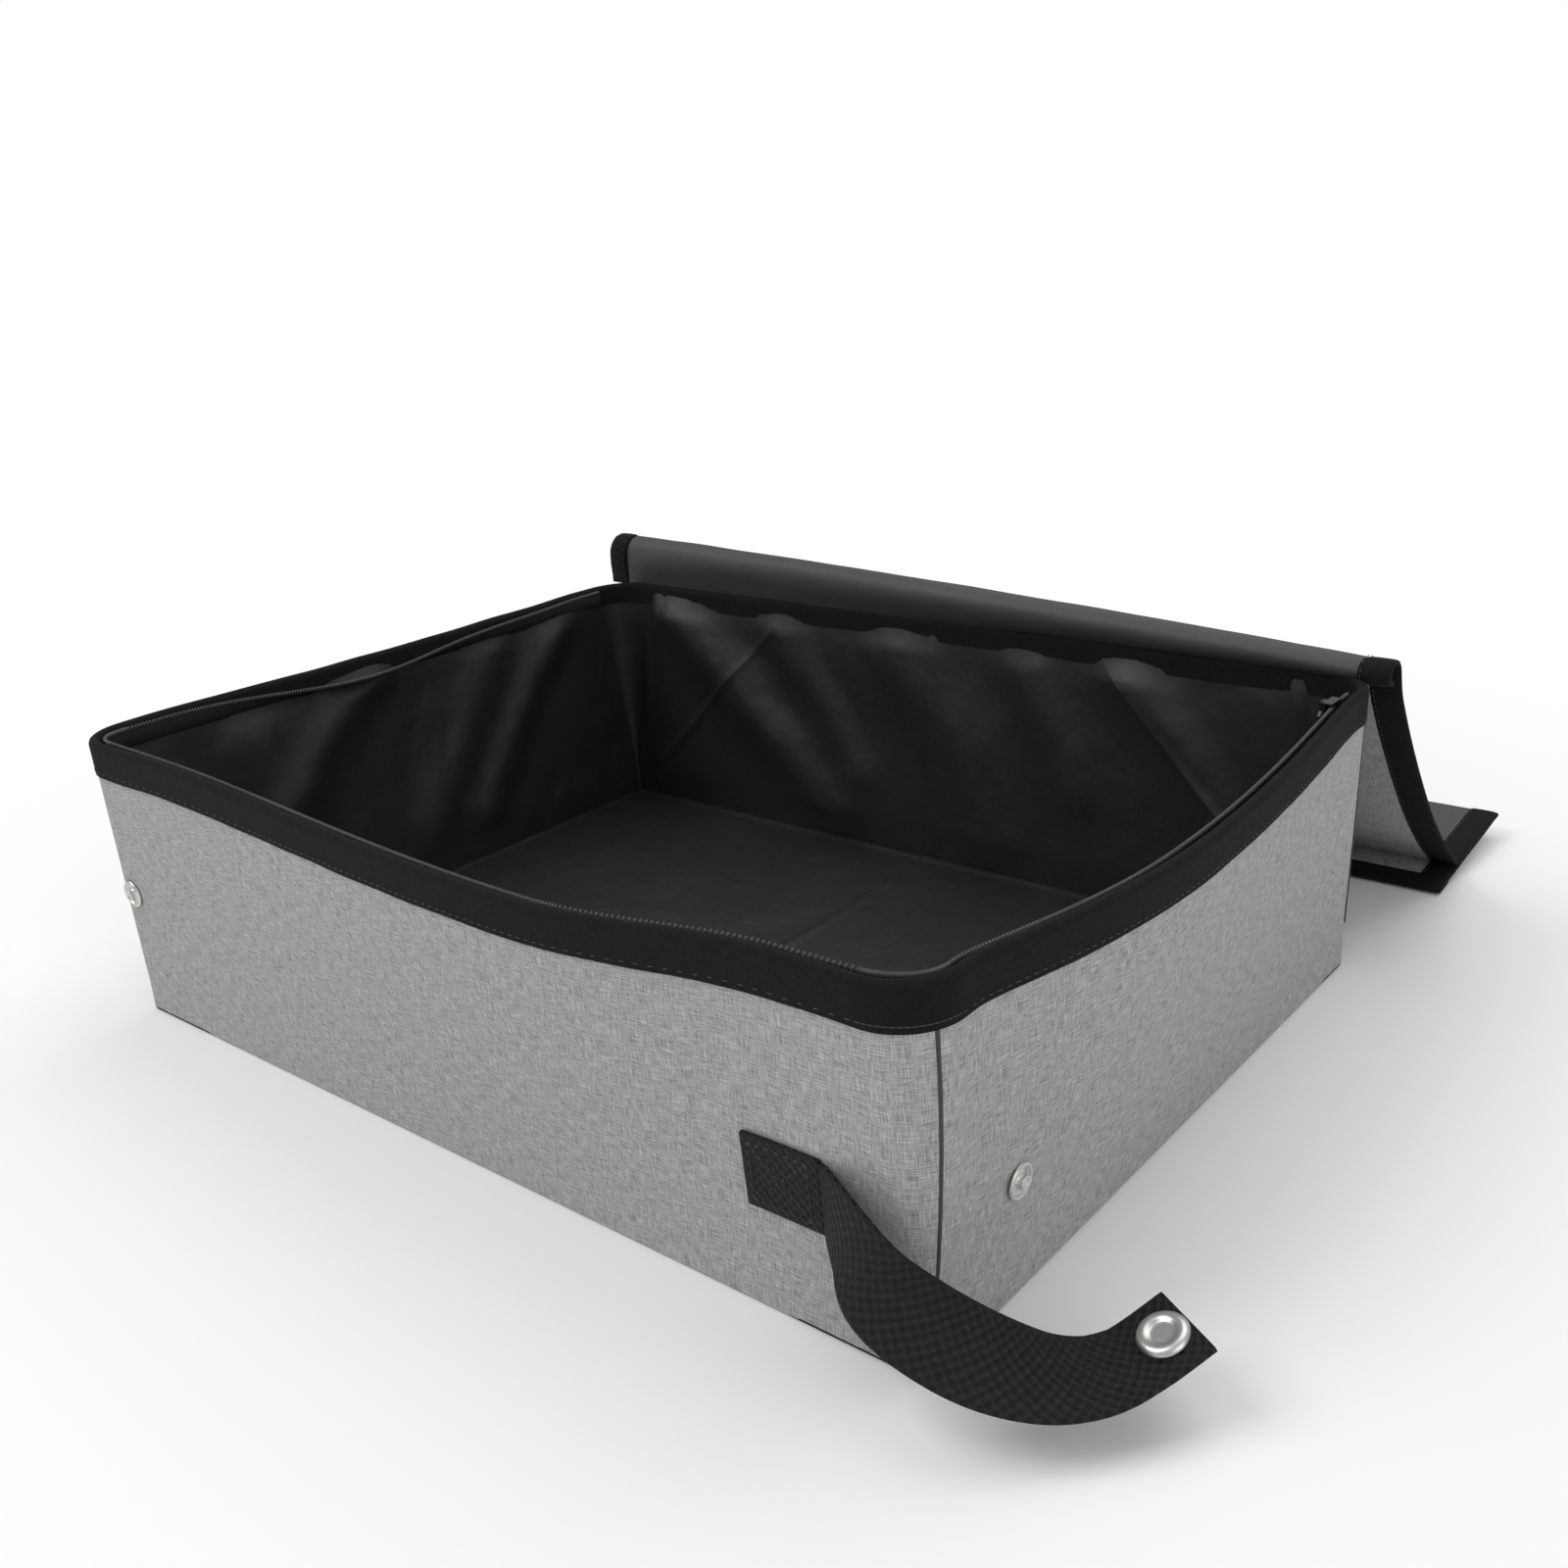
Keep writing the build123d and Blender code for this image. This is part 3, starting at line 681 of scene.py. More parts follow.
# %% Folds of the lining, as lines of (place along the wall, height), width and depth, in millimetres
folds = {
    "left": (
        (((76, 96), (70, 70)), 12, 4.0),
        (((12, 112), (45, 86), (70, 58)), 9, 5.0),
        (((-113, 116), (-82, 84), (-40, 28)), 8, 4.5),
        (((-60, 104), (-30, 60), (-8, 30)), 10, 3.0),
    ),
    "rear": (
        (((166, 108), (112, 64), (58, 18)), 12, 5.5),
        (((92, 104), (62, 66), (44, 40)), 9, 3.0),
        (((20, 100), (-14, 60), (-30, 20)), 14, 3.0),
        (((-100, 106), (-124, 84), (-148, 48)), 9, 4.5),
        (((-50, 102), (-76, 50)), 10, 2.5),
    ),
    "right": ((((-70, 104), (-40, 60), (-20, 20)), 10, 4.0), (((60, 108), (84, 70), (96, 30)), 9, 3.5)),
    "front": (
        (((-150, 106), (-110, 60), (-70, 18)), 11, 4.5),
        (((60, 104), (96, 60), (120, 30)), 11, 4.0),
        (((-10, 100), (14, 50)), 12, 2.5),
    ),
}
fold_softness = 1.35

# Ripples of the loose cloth: their height, how fine they are along and up, and a seed. A long wall also has
# a crease at its mitres, which fades upwards, and one at its middle. All heights are in millimetres.
lining_ripples = ((1.6, 14, 16, 0), (0.9, 45, 30, 7))
mitre_crease, mitre_crease_width = 2.2, 2.0
middle_crease, middle_crease_width = 1.0, 2.2
held_at_foot, held_at_rim = 7, 9
lining_top = rim_height - 3 * MM

# Pleats of the corner linings.
pleat_depth, pleats_per_mm, pleat_fade = 1.3 * MM, 0.62, 12 * MM
corner_ease, corner_hold = 0.12, 6 * MM


def distance_to_line(point, line):
    """Distance of a point from a chain of points, all as pairs."""
    best = math.inf
    for first, second in zip(line, line[1:]):
        run = (second[0] - first[0], second[1] - first[1])
        away = (point[0] - first[0], point[1] - first[1])
        share = (away[0] * run[0] + away[1] * run[1]) / (run[0] ** 2 + run[1] ** 2)
        share = min(1.0, max(0.0, share))
        best = min(best, math.hypot(away[0] - run[0] * share, away[1] - run[1] * share))
    return best


def rumple(wall, along, height):
    """How far the lining stands off its wall at a place: folds, noise, and the creases of a long wall."""
    spot = (along / MM, height / MM)
    depth = 0.0
    for line, width, tall in folds[wall]:
        depth += tall * math.exp(-(distance_to_line(spot, line) / width / fold_softness) ** 2)
    for tall, fine_along, fine_up, seed in lining_ripples:
        depth += tall * abs(ripple(along * fine_along, height * fine_up, turns[wall] + seed))
    if is_long(wall):
        from_mitre = abs(abs(along) - mitre(height)) / MM * 0.7
        depth += mitre_crease * (1 - height / rim_height) * math.exp(-(from_mitre / mitre_crease_width) ** 2)
        depth += middle_crease * math.exp(-(spot[0] / middle_crease_width) ** 2)
    climb = (height - floor_top) / (lining_top - floor_top)
    held = min(1.0, max(0.0, held_at_foot * climb)) * min(1.0, max(0.0, held_at_rim * (1 - climb)))
    return depth * held * MM


def lined_wall(wall):
    """Lining of a wall, loose between the floor and the rim."""

    def place(u, v):
        height = floor_top + (lining_top - floor_top) * v
        along = (2 * u - 1) * half_reach(wall, height)
        return wall_point(wall, along, height, -wall_thickness - rumple(wall, along, height))

    low_length, high_length = 2 * half_reach(wall, floor_top), 2 * half_reach(wall, lining_top)
    chart = oblong(low_length, lining_top - floor_top)
    piece = cloth(wall + "_wall_liner", lining, 130, 46, place, chart, turned=True)
    fold_with_floor(piece, wall)
    dress(piece, "glossy_lining", wall + "_wall_lining")


def corner_rumple(wall, end, share, height):
    """How far a corner's lining stands off, with a few upright pleats near the rim."""
    if share < arc_share:
        return 0.0
    along = corner_along(wall, end, corner_width(share, height))
    ease = min(1.0, (share - arc_share) / corner_ease)
    pleats = pleat_depth * (1 + math.sin(abs(along) / MM * pleats_per_mm)) * (height / rim_height) ** 1.5
    pleats *= min(1.0, max(0.0, (rim_height - height) / pleat_fade)) * math.sin(math.pi * ease * 0.9) ** 2
    held = min(1.0, (height - long_hinge_height) / corner_hold)
    return (rumple(wall, along, height) * ease + pleats) * max(0.0, held)


for wall in wall_names:
    lined_wall(wall)
for wall in long_walls:
    for end in ends:
        inner, node_name = -wall_thickness, f"corner_lining_{wall}_{end}"
        corner_pair(wall, end, "liner", lining, inner, lining_top, node_name, "glossy_lining", corner_rumple)

# %% [markdown]
# ## The floor
#
# The floor is a board in two halves between a cloth below and the lining above, so the tray folds like a
# book. The lining shows the crease between the halves and a fine ridge where it is sewn along the walls.

# %% Floor cloth and floor lining
def floor_cloth(u, v):
    """Underside of the tray, with rounded corners."""
    x, y = (2 * u - 1) * half_length, (2 * v - 1) * half_width
    over_x = abs(x) - (half_length - foot_radius)
    over_y = abs(y) - (half_width - foot_radius)
    if over_x > 0 and over_y > 0:
        shrink = foot_radius / max(foot_radius, math.hypot(over_x, over_y))
        x = math.copysign(half_length - foot_radius + over_x * shrink, x)
        y = math.copysign(half_width - foot_radius + over_y * shrink, y)
    return Vector((x, y, 0))


lined_x = half_length - wall_thickness
lined_y = half_width - wall_thickness

# Height and width of the crease across the floor and of the ridge along its edge, in millimetres, with how
# far the crease wanders and how far in the ridge lies.
book_crease, book_crease_width, book_crease_wander = 0.9, 1.8, 1.5
edge_ridge, edge_ridge_width, edge_ridge_inset = 1.1, 1.4, 2.5


def floor_liner(u, v):
    """Lining of the floor: uneven, with its middle crease and sewn edges."""
    x, y = (2 * u - 1) * lined_x, (2 * v - 1) * lined_y
    edge = min(lined_x - abs(x), lined_y - abs(y)) / MM
    lift = 0.7 * abs(ripple(x * 16, y * 16, 3)) + 0.35 * abs(ripple(x * 50, y * 50, 5))
    from_crease = x / MM - book_crease_wander * math.sin(y * 30)
    lift += book_crease * math.exp(-(from_crease / book_crease_width) ** 2)
    lift += edge_ridge * math.exp(-((edge - edge_ridge_inset) / edge_ridge_width) ** 2)
    return Vector((x, y, floor_top + lift * MM * min(1.0, edge / 2)))


floor_size = (2 * half_length, 2 * half_width)
underside = cloth("floor_cloth", linen, 100, 75, floor_cloth, oblong(*floor_size), turned=True)
dress(underside, "grey_linen", "base_fabric", body="base")

lined_size = (2 * lined_x, 2 * lined_y)
lined_floor = cloth("floor_liner", lining, 200, 150, floor_liner, oblong(*lined_size))
dress(lined_floor, "glossy_lining", "floor_lining", body="base")

# %% [markdown]
# ## Binding on the rim
#
# A black tape is folded over the raw edges of cloth, board and lining, and sewn through near its lower
# edge. Its section is a narrow U with a round top. The stitches are modelled one by one, because their
# little shadows show in a close view.

# %% Binding, corner binding and stitches
binding_outside = 14 * MM
binding_inside = 10 * MM
binding_turn = (wall_thickness + 2 * binding_thickness) / 2
binding_over = math.pi * binding_turn
binding_width = binding_outside + binding_inside - 2 * binding_turn + binding_over
binding_hem = rim_height - binding_outside + 1.8 * MM
corner_length = 130 * MM


def binding_edge(share):
    """Section of the binding from its outer hem over the rim to its inner hem: outwards and height."""
    outside = binding_outside - binding_turn
    run = share * binding_width
    middle = -wall_thickness / 2
    if run < outside:
        return middle + binding_turn, rim_height - binding_outside + run
    if run < outside + binding_over:
        angle = (run - outside) / binding_turn
        return middle + binding_turn * math.cos(angle), rim_height - binding_turn * (1 - math.sin(angle))
    return middle - binding_turn, rim_height - binding_turn - (run - outside - binding_over)


def span(wall, height):
    """Half length of a wall's binding and zip, to the crease of a long wall or the corner of an end wall."""
    return mitre(rim_height) if is_long(wall) else end_reach(height)


def wavering(point):
    """A point of the binding, a little up or down, as a sewn tape is never quite even."""
    return point + Vector((0, 0, 0.45 * MM * ripple(point.x * 38, point.y * 38, 2)))


def wall_binding(wall):
    """Binding and stitches of a straight wall."""
    reach = span(wall, rim_height)

    def place(u, v):
        out, height = binding_edge(v)
        return wavering(wall_point(wall, (2 * u - 1) * span(wall, height), height, out))

    def stitched(share):
        return wall_point(wall, (2 * share - 1) * reach, binding_hem, binding_thickness)

    chart = oblong(2 * reach, binding_width)
    piece = cloth(wall + "_binding", binding, 96, 22, place, chart, binding_thickness)
    dress(piece, "black_binding", wall + "_rim_binding", body=wall + "_wall")
    row = sewn_line(wall + "_binding_stitches", thread, stitched, 2 * reach)
    dress(row, "black_binding", body=wall + "_wall")


def rim_corner_binding(wall, end):
    """Binding and stitches from a long wall's mitre round to the end wall."""
    start = mitre(rim_height)

    def place(u, v):
        out, height = binding_edge(v)
        return wavering(corner_point(wall, end, u, height, out, start))

    def stitched(share):
        return corner_point(wall, end, share, binding_hem, binding_thickness, start)

    name, chart = f"corner_binding_tape_{wall}_{end}", oblong(corner_length, binding_width)
    piece = cloth(name, binding, 52, 22, place, chart, binding_thickness, turned=mirrored(wall, end))
    dress(piece, "black_binding", f"corner_binding_{wall}_{end}")
    row = sewn_line(f"corner_stitches_{wall}_{end}", thread, stitched, corner_length)
    dress(row, "black_binding")
    fold_corner(piece, wall)
    fold_corner(row, wall)


for wall in wall_names:
    wall_binding(wall)
for wall in long_walls:
    for end in ends:
        rim_corner_binding(wall, end)

# %% [markdown]
# ## Zip tape and its coil
#
# Half of a zip is sewn inside the rim of three walls, with a nylon coil on its free edge. The tape is
# soft, so along the left wall it droops into the tray, as in the photograph. Each turn of the coil is a
# small rounded bead of few faces, because there are several hundred.

# %% Zip tape and coil
coil_offset = wall_thickness + 2.75 * MM
coil_height = rim_height - 2.2 * MM
tape_width = 7 * MM
tape_curl = 1.9 * MM
tooth_pitch = 1.3 * MM
tooth_size = (0.42 * MM, 1.2 * MM, 0.8 * MM)
droop = {"left": 9 * MM, "right": 1 * MM, "front": 0}
droop_down, droop_in = 0.55, 0.8
corner_lift = 1 * MM
corner_bridge = -0.4 * MM
zip_corner_length = 120 * MM
coil_corner_length = 126 * MM


def zip_section(share):
    """Outwards and height of the zip tape, from its sewn foot at 0 to the coil on its edge at 1."""
    return -coil_offset + (1 - share) ** 3 * tape_curl, coil_height - tape_width * (1 - share)


def zip_pieces(names, columns, place, tape_length, coil_length, turned):
    """Tape and coil of one length of the zip."""

    def edge(share):
        return place(share, 1)

    chart = oblong(tape_length, tape_width)
    tape = cloth(names[0], zip_cloth, columns, 6, place, chart, 0.5 * MM, turned=turned, offset=0)
    return tape, sewn_line(names[1], nylon, edge, coil_length, tooth_pitch, tooth_size)


def wall_zip(wall):
    """Zip of a straight wall."""
    length = 2 * span(wall, rim_height)

    def place(u, v):
        out, height = zip_section(v)
        along = (2 * u - 1) * span(wall, height)
        hang = droop[wall] * middle_share(wall, along) * v
        if wall == "left":
            hang *= 0.75 + 0.35 * math.sin(along * 34 + 0.6)
        return wall_point(wall, along, height - droop_down * hang, out - droop_in * hang)

    names = (wall + "_zip_cloth", wall + "_zip_coil")
    tape, coil = zip_pieces(names, 90, place, length, length, True)
    dress(tape, "zip_tape", wall + "_zip_tape", body=wall + "_wall")
    dress(coil, "zip_tape", body=wall + "_wall")


def corner_zip(end):
    """Zip round a front corner."""
    start = mitre(rim_height)

    def place(u, v):
        out, height = zip_section(v)
        free = math.sin(math.pi * min(1.0, u / arc_share * 0.62)) ** 2
        height += corner_lift * free
        out -= corner_bridge * free * v
        return corner_point("front", end, u, height, out, start)

    names = ("corner_zip_cloth_" + end, "corner_zip_coil_" + end)
    for piece in zip_pieces(names, 48, place, zip_corner_length, coil_corner_length, False):
        fold_corner(piece, "front")
        dress(piece, "zip_tape")


for wall in ("right", "left", "front"):
    wall_zip(wall)
for end in ends:
    corner_zip(end)
print("zip dressed")

# %% [markdown]
# ## The lid, hanging open
#
# The lid is a long cloth sewn to the rear rim. It stands up in a soft roll, falls behind the tray in one
# curved sheet and turns back on itself near the floor. The imported joints give its creases, and each part
# of the lid between them is a sheet of its own. Its lining faces up, its linen faces down.

# %% Path of the lid in section, as points (across the tray, height)
lid_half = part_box("lid_back_fabric")[1].x
lid_thickness = 1.5 * MM
rim_crease = hinge["lid_close"].yz
back_crease = hinge["lid_crease_bend"].yz
floor_crease = hinge["lid_middle_bend"].yz
front_crease = hinge["lid_front_bend"].yz
back_headings = (-72, -36)
back_length = 158 * MM
middle_heading, middle_length = 5, 56 * MM
front_heading, front_length = 185.9, 70 * MM


def heading_step(point, heading, along, across=0.0):
    """A point reached by going along a heading and to its upper side."""
    angle = math.radians(heading)
    ahead = Vector((math.cos(angle), math.sin(angle)))
    return point + ahead * along + Vector((-ahead.y, ahead.x)) * across


def smooth_path(points):
    """A function of a share that follows a smooth curve through the points."""
    runs = [0.0]
    for first, second in zip(points, points[1:]):
        runs.append(runs[-1] + (second - first).length)

    def at(share):
        run = min(max(share, 0.0), 1.0) * runs[-1]
        index = max(i for i in range(len(points) - 1) if runs[i] <= run + 1e-12)
        t = (run - runs[index]) / (runs[index + 1] - runs[index])
        a = points[max(index - 1, 0)]
        b, c = points[index], points[index + 1]
        d = points[min(index + 2, len(points) - 1)]
        slope_b, slope_c = (c - a) * 0.5, (d - b) * 0.5
        return (
            b * (2 * t ** 3 - 3 * t ** 2 + 1)
            + slope_b * (t ** 3 - 2 * t ** 2 + t)
            + c * (3 * t ** 2 - 2 * t ** 3)
            + slope_c * (t ** 3 - t ** 2)
        )

    at.length = runs[-1]
    return at


def way_ahead(path, share):
    """Direction of a path at a share of it."""
    return (path(share + 0.01) - path(share - 0.01)).normalized()


def upper_side(ahead):
    """Direction of the lid's upper side where its path goes ahead."""
    return Vector((-ahead.y, ahead.x))


back_radius = back_length / math.radians(back_headings[1] - back_headings[0])
back_centre = heading_step(back_crease, back_headings[1], -0.4 * MM, back_radius)


def back_point(share):
    """A point of the curved back panel."""
    heading = back_headings[0] + (back_headings[1] - back_headings[0]) * share
    return heading_step(back_centre, heading, 0, -back_radius)


roll_front = ((-0.4, -2.2), (-1.5, 3), (-2.8, 9), (-3.0, 14.5), (-0.8, 18.4), (2.4, 19.3))
roll_rear = (4.6, 16.2)
roll_points = [rim_crease + Vector(pair) * MM for pair in roll_front]
back_points = [roll_points[-1], rim_crease + Vector(roll_rear) * MM]
back_points += [back_point(i / 10) for i in range(1, 11)]
crease_points = [back_points[-1], floor_crease]
middle_points = [heading_step(floor_crease, middle_heading, middle_length * share) for share in (0, 0.5, 1)]
front_points = [middle_points[-1], heading_step(front_crease, middle_heading, 1.2 * MM, -0.2 * MM)]
front_points += [heading_step(front_crease, front_heading, front_length * share) for share in (0.03, 0.5, 1)]

# For each part: its path, the bodies before and after its crease, how many millimetres the bend takes, and
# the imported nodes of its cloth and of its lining.
lid_parts = {
    "roll": (roll_points, "rear_wall", "lid_band", 4, ("lid_hinge_band", "lid_fold_strip"), ()),
    "back": (back_points, "lid_band", "lid_back", 12, ("lid_back_fabric",), ("lid_back_lining",)),
    "crease": (crease_points, "lid_back", "lid_crease", 4, ("lid_crease_strip",), ()),
    "middle": (middle_points, "lid_crease", "lid_middle", 6, ("lid_middle_fabric",), ("lid_middle_lining",)),
    "front": (front_points, "lid_middle", "lid_front", 6, ("lid_front_fabric",), ("lid_front_lining",)),
}


def lid_bend(piece, part):
    """Bakes the transform of a piece of the lid into its mesh."""
    points, before, after, spread = lid_parts[part][:4]
    path = smooth_path(points)
    start = path(0)
    finish = path(min(1.0, spread * MM / path.length))
    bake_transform(piece)


lid_tilt = (3.5 * MM, -1.5 * MM, -15 * MM)
roll_forward = 3 * MM
left_draw = 6 * MM


def lid_sag(part, x, share):
    """How the roll sinks towards the right end, fading down the back of the lid."""
    place = (x / lid_half + 1) / 2
    left, middle, right_end = lid_tilt
    sink = left * (1 - place) ** 2 + 2 * middle * place * (1 - place) + right_end * place ** 2
    if part == "roll":
        return Vector((-roll_forward * place * math.sin(math.pi * share), sink * share ** 0.6))
    if part == "back":
        return Vector((0, sink * max(0.0, 1 - share * 1.6) ** 1.5))
    return Vector((0, 0))


def lid_draw(part, x, share):
    """How far the left end of the roll is drawn in."""
    drawn = {"roll": share, "back": max(0.0, 1 - 2.5 * share) ** 2}.get(part, 0.0)
    return left_draw * drawn * max(0.0, -x / lid_half) ** 3


def lid_wave(part, x, share):
    """Slackness of the hanging cloth."""
    ease = math.sin(math.pi * share) if part == "back" else 0.0
    return (2.2 * ripple(x * 7, share * 1.3, 11) * ease + 0.35 * ripple(x * 30, share * 4, 13)) * MM


def lid_spot(path, part, x, share, lift):
    """A point on the lid at a distance from its middle layer."""
    spot = path(share) + upper_side(way_ahead(path, share)) * (lift + lid_wave(part, x, share))
    spot = spot + lid_sag(part, x, share)
    return Vector((x + lid_draw(part, x, share), spot.x, spot.y))


def lid_rows(path):
    """Rows of faces along a part of the lid, one every four millimetres."""
    return max(8, int(path.length / (4 * MM)))


def lid_sheet(part, kind, material, lift, turned, slot_name, nodes):
    """One layer of a part of the lid."""
    path = smooth_path(lid_parts[part][0])
    size = (2 * lid_half, path.length)

    def place(u, v):
        return lid_spot(path, part, (2 * u - 1) * lid_half, v, lift)

    name = f"lid_{part}_{kind}"
    piece = cloth(name, material, 90, lid_rows(path), place, oblong(*size), 0.7 * MM, turned=turned)
    lid_bend(piece, part)
    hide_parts(*nodes)
    cut = (size[0], max(size[1], 10 * MM))


tape_wrap = 26 * MM
tape_half_height = 1.25 * MM
stitch_lift = 1.19 * MM


def plump_section(angle):
    """A point of a tape's plump section, as shares of its half width and its half height."""
    return tuple(math.copysign(abs(way) ** 0.6, way) for way in (math.cos(angle), math.sin(angle)))


def lid_side_tape(part, end):
    """The binding sewn along a side of the lid, with its stitches above and below."""
    path = smooth_path(lid_parts[part][0])
    side = 1 if end == "right" else -1
    half, out, seam_in = 6.4 * MM, 1.5 * MM, 3.2 * MM
    plump = 1.3 * MM if part == "roll" else 0.0

    def place(u, angle):
        wide, high = plump_section(angle)
        thick = tape_half_height + plump * math.sin(math.pi * u)
        spot = lid_spot(path, part, side * lid_half, u, thick * high)
        return spot + Vector((side * (out + half * wide), 0, 0))

    chart = oblong(path.length, tape_wrap)
    piece = tube(f"lid_{part}_tape_{end}", binding, lid_rows(path), 20, place, chart)
    lid_bend(piece, part)
    edged = ("lid_" + part + "_edge_tape",) if part in ("back", "middle", "front") else ()
    dress(piece, "black_binding", *edged)
    for face, face_name in ((1, "upper"), (-1, "lower")):

        def stitched(share):
            lift = face * (stitch_lift + plump * math.sin(math.pi * share))
            return lid_spot(path, part, side * (lid_half - seam_in), share, lift)

        row = sewn_line(f"lid_{part}_stitches_{end}_{face_name}", thread, stitched, path.length)
        lid_bend(row, part)
        dress(row, "black_binding")


def lid_hem():
    """The binding along the free edge of the lid."""
    path = smooth_path(front_points)
    end = path(1)
    ahead = (path(1) - path(0.97)).normalized()
    across = upper_side(ahead)
    reach = lid_half + 7.9 * MM
    half, out = 6.6 * MM, 5.4 * MM

    def place(u, angle):
        wide, high = plump_section(angle)
        spot = end + ahead * (out + half * wide) + across * tape_half_height * high
        return Vector(((2 * u - 1) * reach, spot.x, spot.y))

    piece = tube("lid_hem", binding, 90, 20, place, oblong(2 * reach, tape_wrap))
    dress(piece, "black_binding", body="lid_front")


for part, (*_, outer_nodes, inner_nodes) in lid_parts.items():
    outer, outer_slot = (binding, "black_binding") if part == "roll" else (linen, "grey_linen")
    lid_sheet(part, "cloth", outer, -lid_thickness / 2, True, outer_slot, outer_nodes)
    lid_sheet(part, "liner", lid_lining_painted_sheen, lid_thickness / 2, False, "glossy_lining", inner_nodes)
    for end in ends:
        lid_side_tape(part, end)
lid_hem()
print("lid dressed")

# %% [markdown]
# ## Strap and snap
#
# A short webbing strap is sewn to the front wall near the corner and twists as it swings out. Its edge
# turns from upright to lying as it goes, so the strap is one closed ribbon that follows listed
# stations. The cap of the snap is spun from a small outline, as it is pressed from a round blank.

# %% Strap
strap_width = 25 * MM
strap_thickness = 1.6 * MM
strap_free_length = 123 * MM
strap_start = hinge["strap_swing"]
hem_start, hem_ramp, hem_extra = 0.8, 0.01, 0.3

# Each station as a share of the free length along the wall, outwards and up, with the way its edge points.
strap_stations = (
    ((0.004, 0, 0), (0, 0.06, 1)),
    ((0.12, 0.075, -0.012), (0.25, -0.1, 0.96)),
    ((0.24, 0.115, -0.075), (0.33, -0.45, 0.82)),
    ((0.375, 0.078, -0.155), (0.1, -0.72, 0.68)),
    ((0.49, 0.012, -0.215), (-0.3, -0.79, 0.53)),
    ((0.578, -0.085, -0.26), (-0.7, -0.64, 0.3)),
    ((0.648, -0.19, -0.262), (-0.87, -0.49, 0)),
    ((0.722, -0.318, -0.205), (-0.87, -0.49, 0)),
)
stations = [strap_start + Vector((x, -y, z)) * strap_free_length for (x, y, z), _ in strap_stations]
edges = [Vector((x, -y, z)) for _, (x, y, z) in strap_stations]
strap_path = smooth_path(stations)


def strap_edge(share):
    """Direction of the strap's upper edge at a share of its length."""
    place = share * (len(edges) - 1)
    index = min(int(place), len(edges) - 2)
    return edges[index].lerp(edges[index + 1], place - index).normalized()


def squared(ahead, edge):
    """The edge direction at right angles to the way ahead, and the face direction."""
    edge = (edge - ahead * edge.dot(ahead)).normalized()
    return edge, ahead.cross(edge)


def ribbon_section(angle, wide, thick):
    """A point of a ribbon's section, evenly spaced round it so that its waffle keeps its scale."""
    flat = wide - thick
    half = flat + math.pi * thick / 2
    run = angle / math.pi % 2 * half
    side = 1 if run < half else -1
    run %= half
    if run < flat:
        return side * (flat / 2 - run), side * thick / 2
    turn = (run - flat) / thick * 2
    return -side * (flat + thick * math.sin(turn)) / 2, side * thick / 2 * math.cos(turn)


def strap_place(u, angle):
    """A point of the strap's skin."""
    edge, face = squared(way_ahead(strap_path, u), strap_edge(u))
    hem = 1 + hem_extra * min(1.0, max(0.0, (u - hem_start) / hem_ramp))
    high, deep = ribbon_section(angle, strap_width, strap_thickness * hem)
    return strap_path(u) + edge * high + face * deep


strap = tube("strap_webbing", webbing, 110, 60, strap_place, oblong(strap_free_length, 2 * strap_width))
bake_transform(strap)
dress(strap, "webbing", "snap_strap")

# %% Sewn end of the strap
patch_low, patch_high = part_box("strap_patch")
patch_height = (patch_low.z + patch_high.z) / 2
patch_length = patch_high.x + 1.6 * MM - patch_low.x
patch_middle, seam_out = 0.95 * MM, 1.85 * MM
patch_stitch_pitch = 2.6 * MM
patch_stitch_size = (0.95 * MM, 0.25 * MM, 0.25 * MM)


def patch_place(u, angle):
    """A point of the sewn-down end of the strap."""
    high, deep = ribbon_section(angle, strap_width, strap_thickness)
    return wall_point("front", patch_low.x + patch_length * u, patch_height + high, patch_middle + deep)


def patch_seam(name, corners):
    """A sewn line on the strap's end, through corners given as shares of its size."""
    path = smooth_path([Vector(corner) for corner in corners])

    def stitched(share):
        spot = path(share)
        along = patch_low.x + (patch_high.x - patch_low.x) * spot.x
        return wall_point("front", along, patch_height + (spot.y - 0.5) * strap_width, seam_out)

    length = path.length * strap_width
    row = sewn_line(name, thread, stitched, length, patch_stitch_pitch, patch_stitch_size)
    dress(row, "webbing", body="front_wall")


patch = tube("strap_sewn_end", webbing, 24, 60, patch_place, oblong(patch_length, 2 * strap_width))
dress(patch, "webbing", "strap_patch", body="front_wall")
near, far, low, high = 0.1, 0.9, 0.12, 0.88
patch_seam("patch_stitches_low", ((near, low), (far, low)))
patch_seam("patch_stitches_high", ((near, high), (far, high)))
patch_seam("patch_stitches_back", ((near, low), (near, high)))
patch_seam("patch_stitches_front", ((far, low), (far, high)))
patch_seam("patch_stitches_rising", ((near, low), (far, high)))
patch_seam("patch_stitches_falling", ((near, high), (far, low)))

# %% Snap cap, socket and studs, from outlines of (radius, height) in millimetres
cap_outline = (
    (0, 1.35), (2.6, 1.3), (3.5, 1.35), (4.1, 1.8), (5.0, 2.1), (6.0, 2.0), (6.9, 1.45), (7.4, 0.7),
    (7.5, 0.1), (7.2, 0), (0, 0),
)
socket_outline = (
    (2.7, 0), (2.7, 1.7), (3.1, 2.3), (4.3, 2.4), (5.3, 2.0), (5.8, 1.2), (6, 0.4), (6, 0), (2.7, 0),
)
stud_outline = (
    (0, 0), (6, 0), (6, 0.6), (5.6, 1.2), (5.0, 1.4), (4.5, 1.2), (4.3, 0.5), (3.6, 0.3), (2.9, 0.3),
    (2.5, 0.6), (2.2, 1.3), (2.25, 1.8), (2.45, 2.2), (2.2, 2.55), (1.5, 2.6), (1.1, 2.0), (0, 1.9),
)


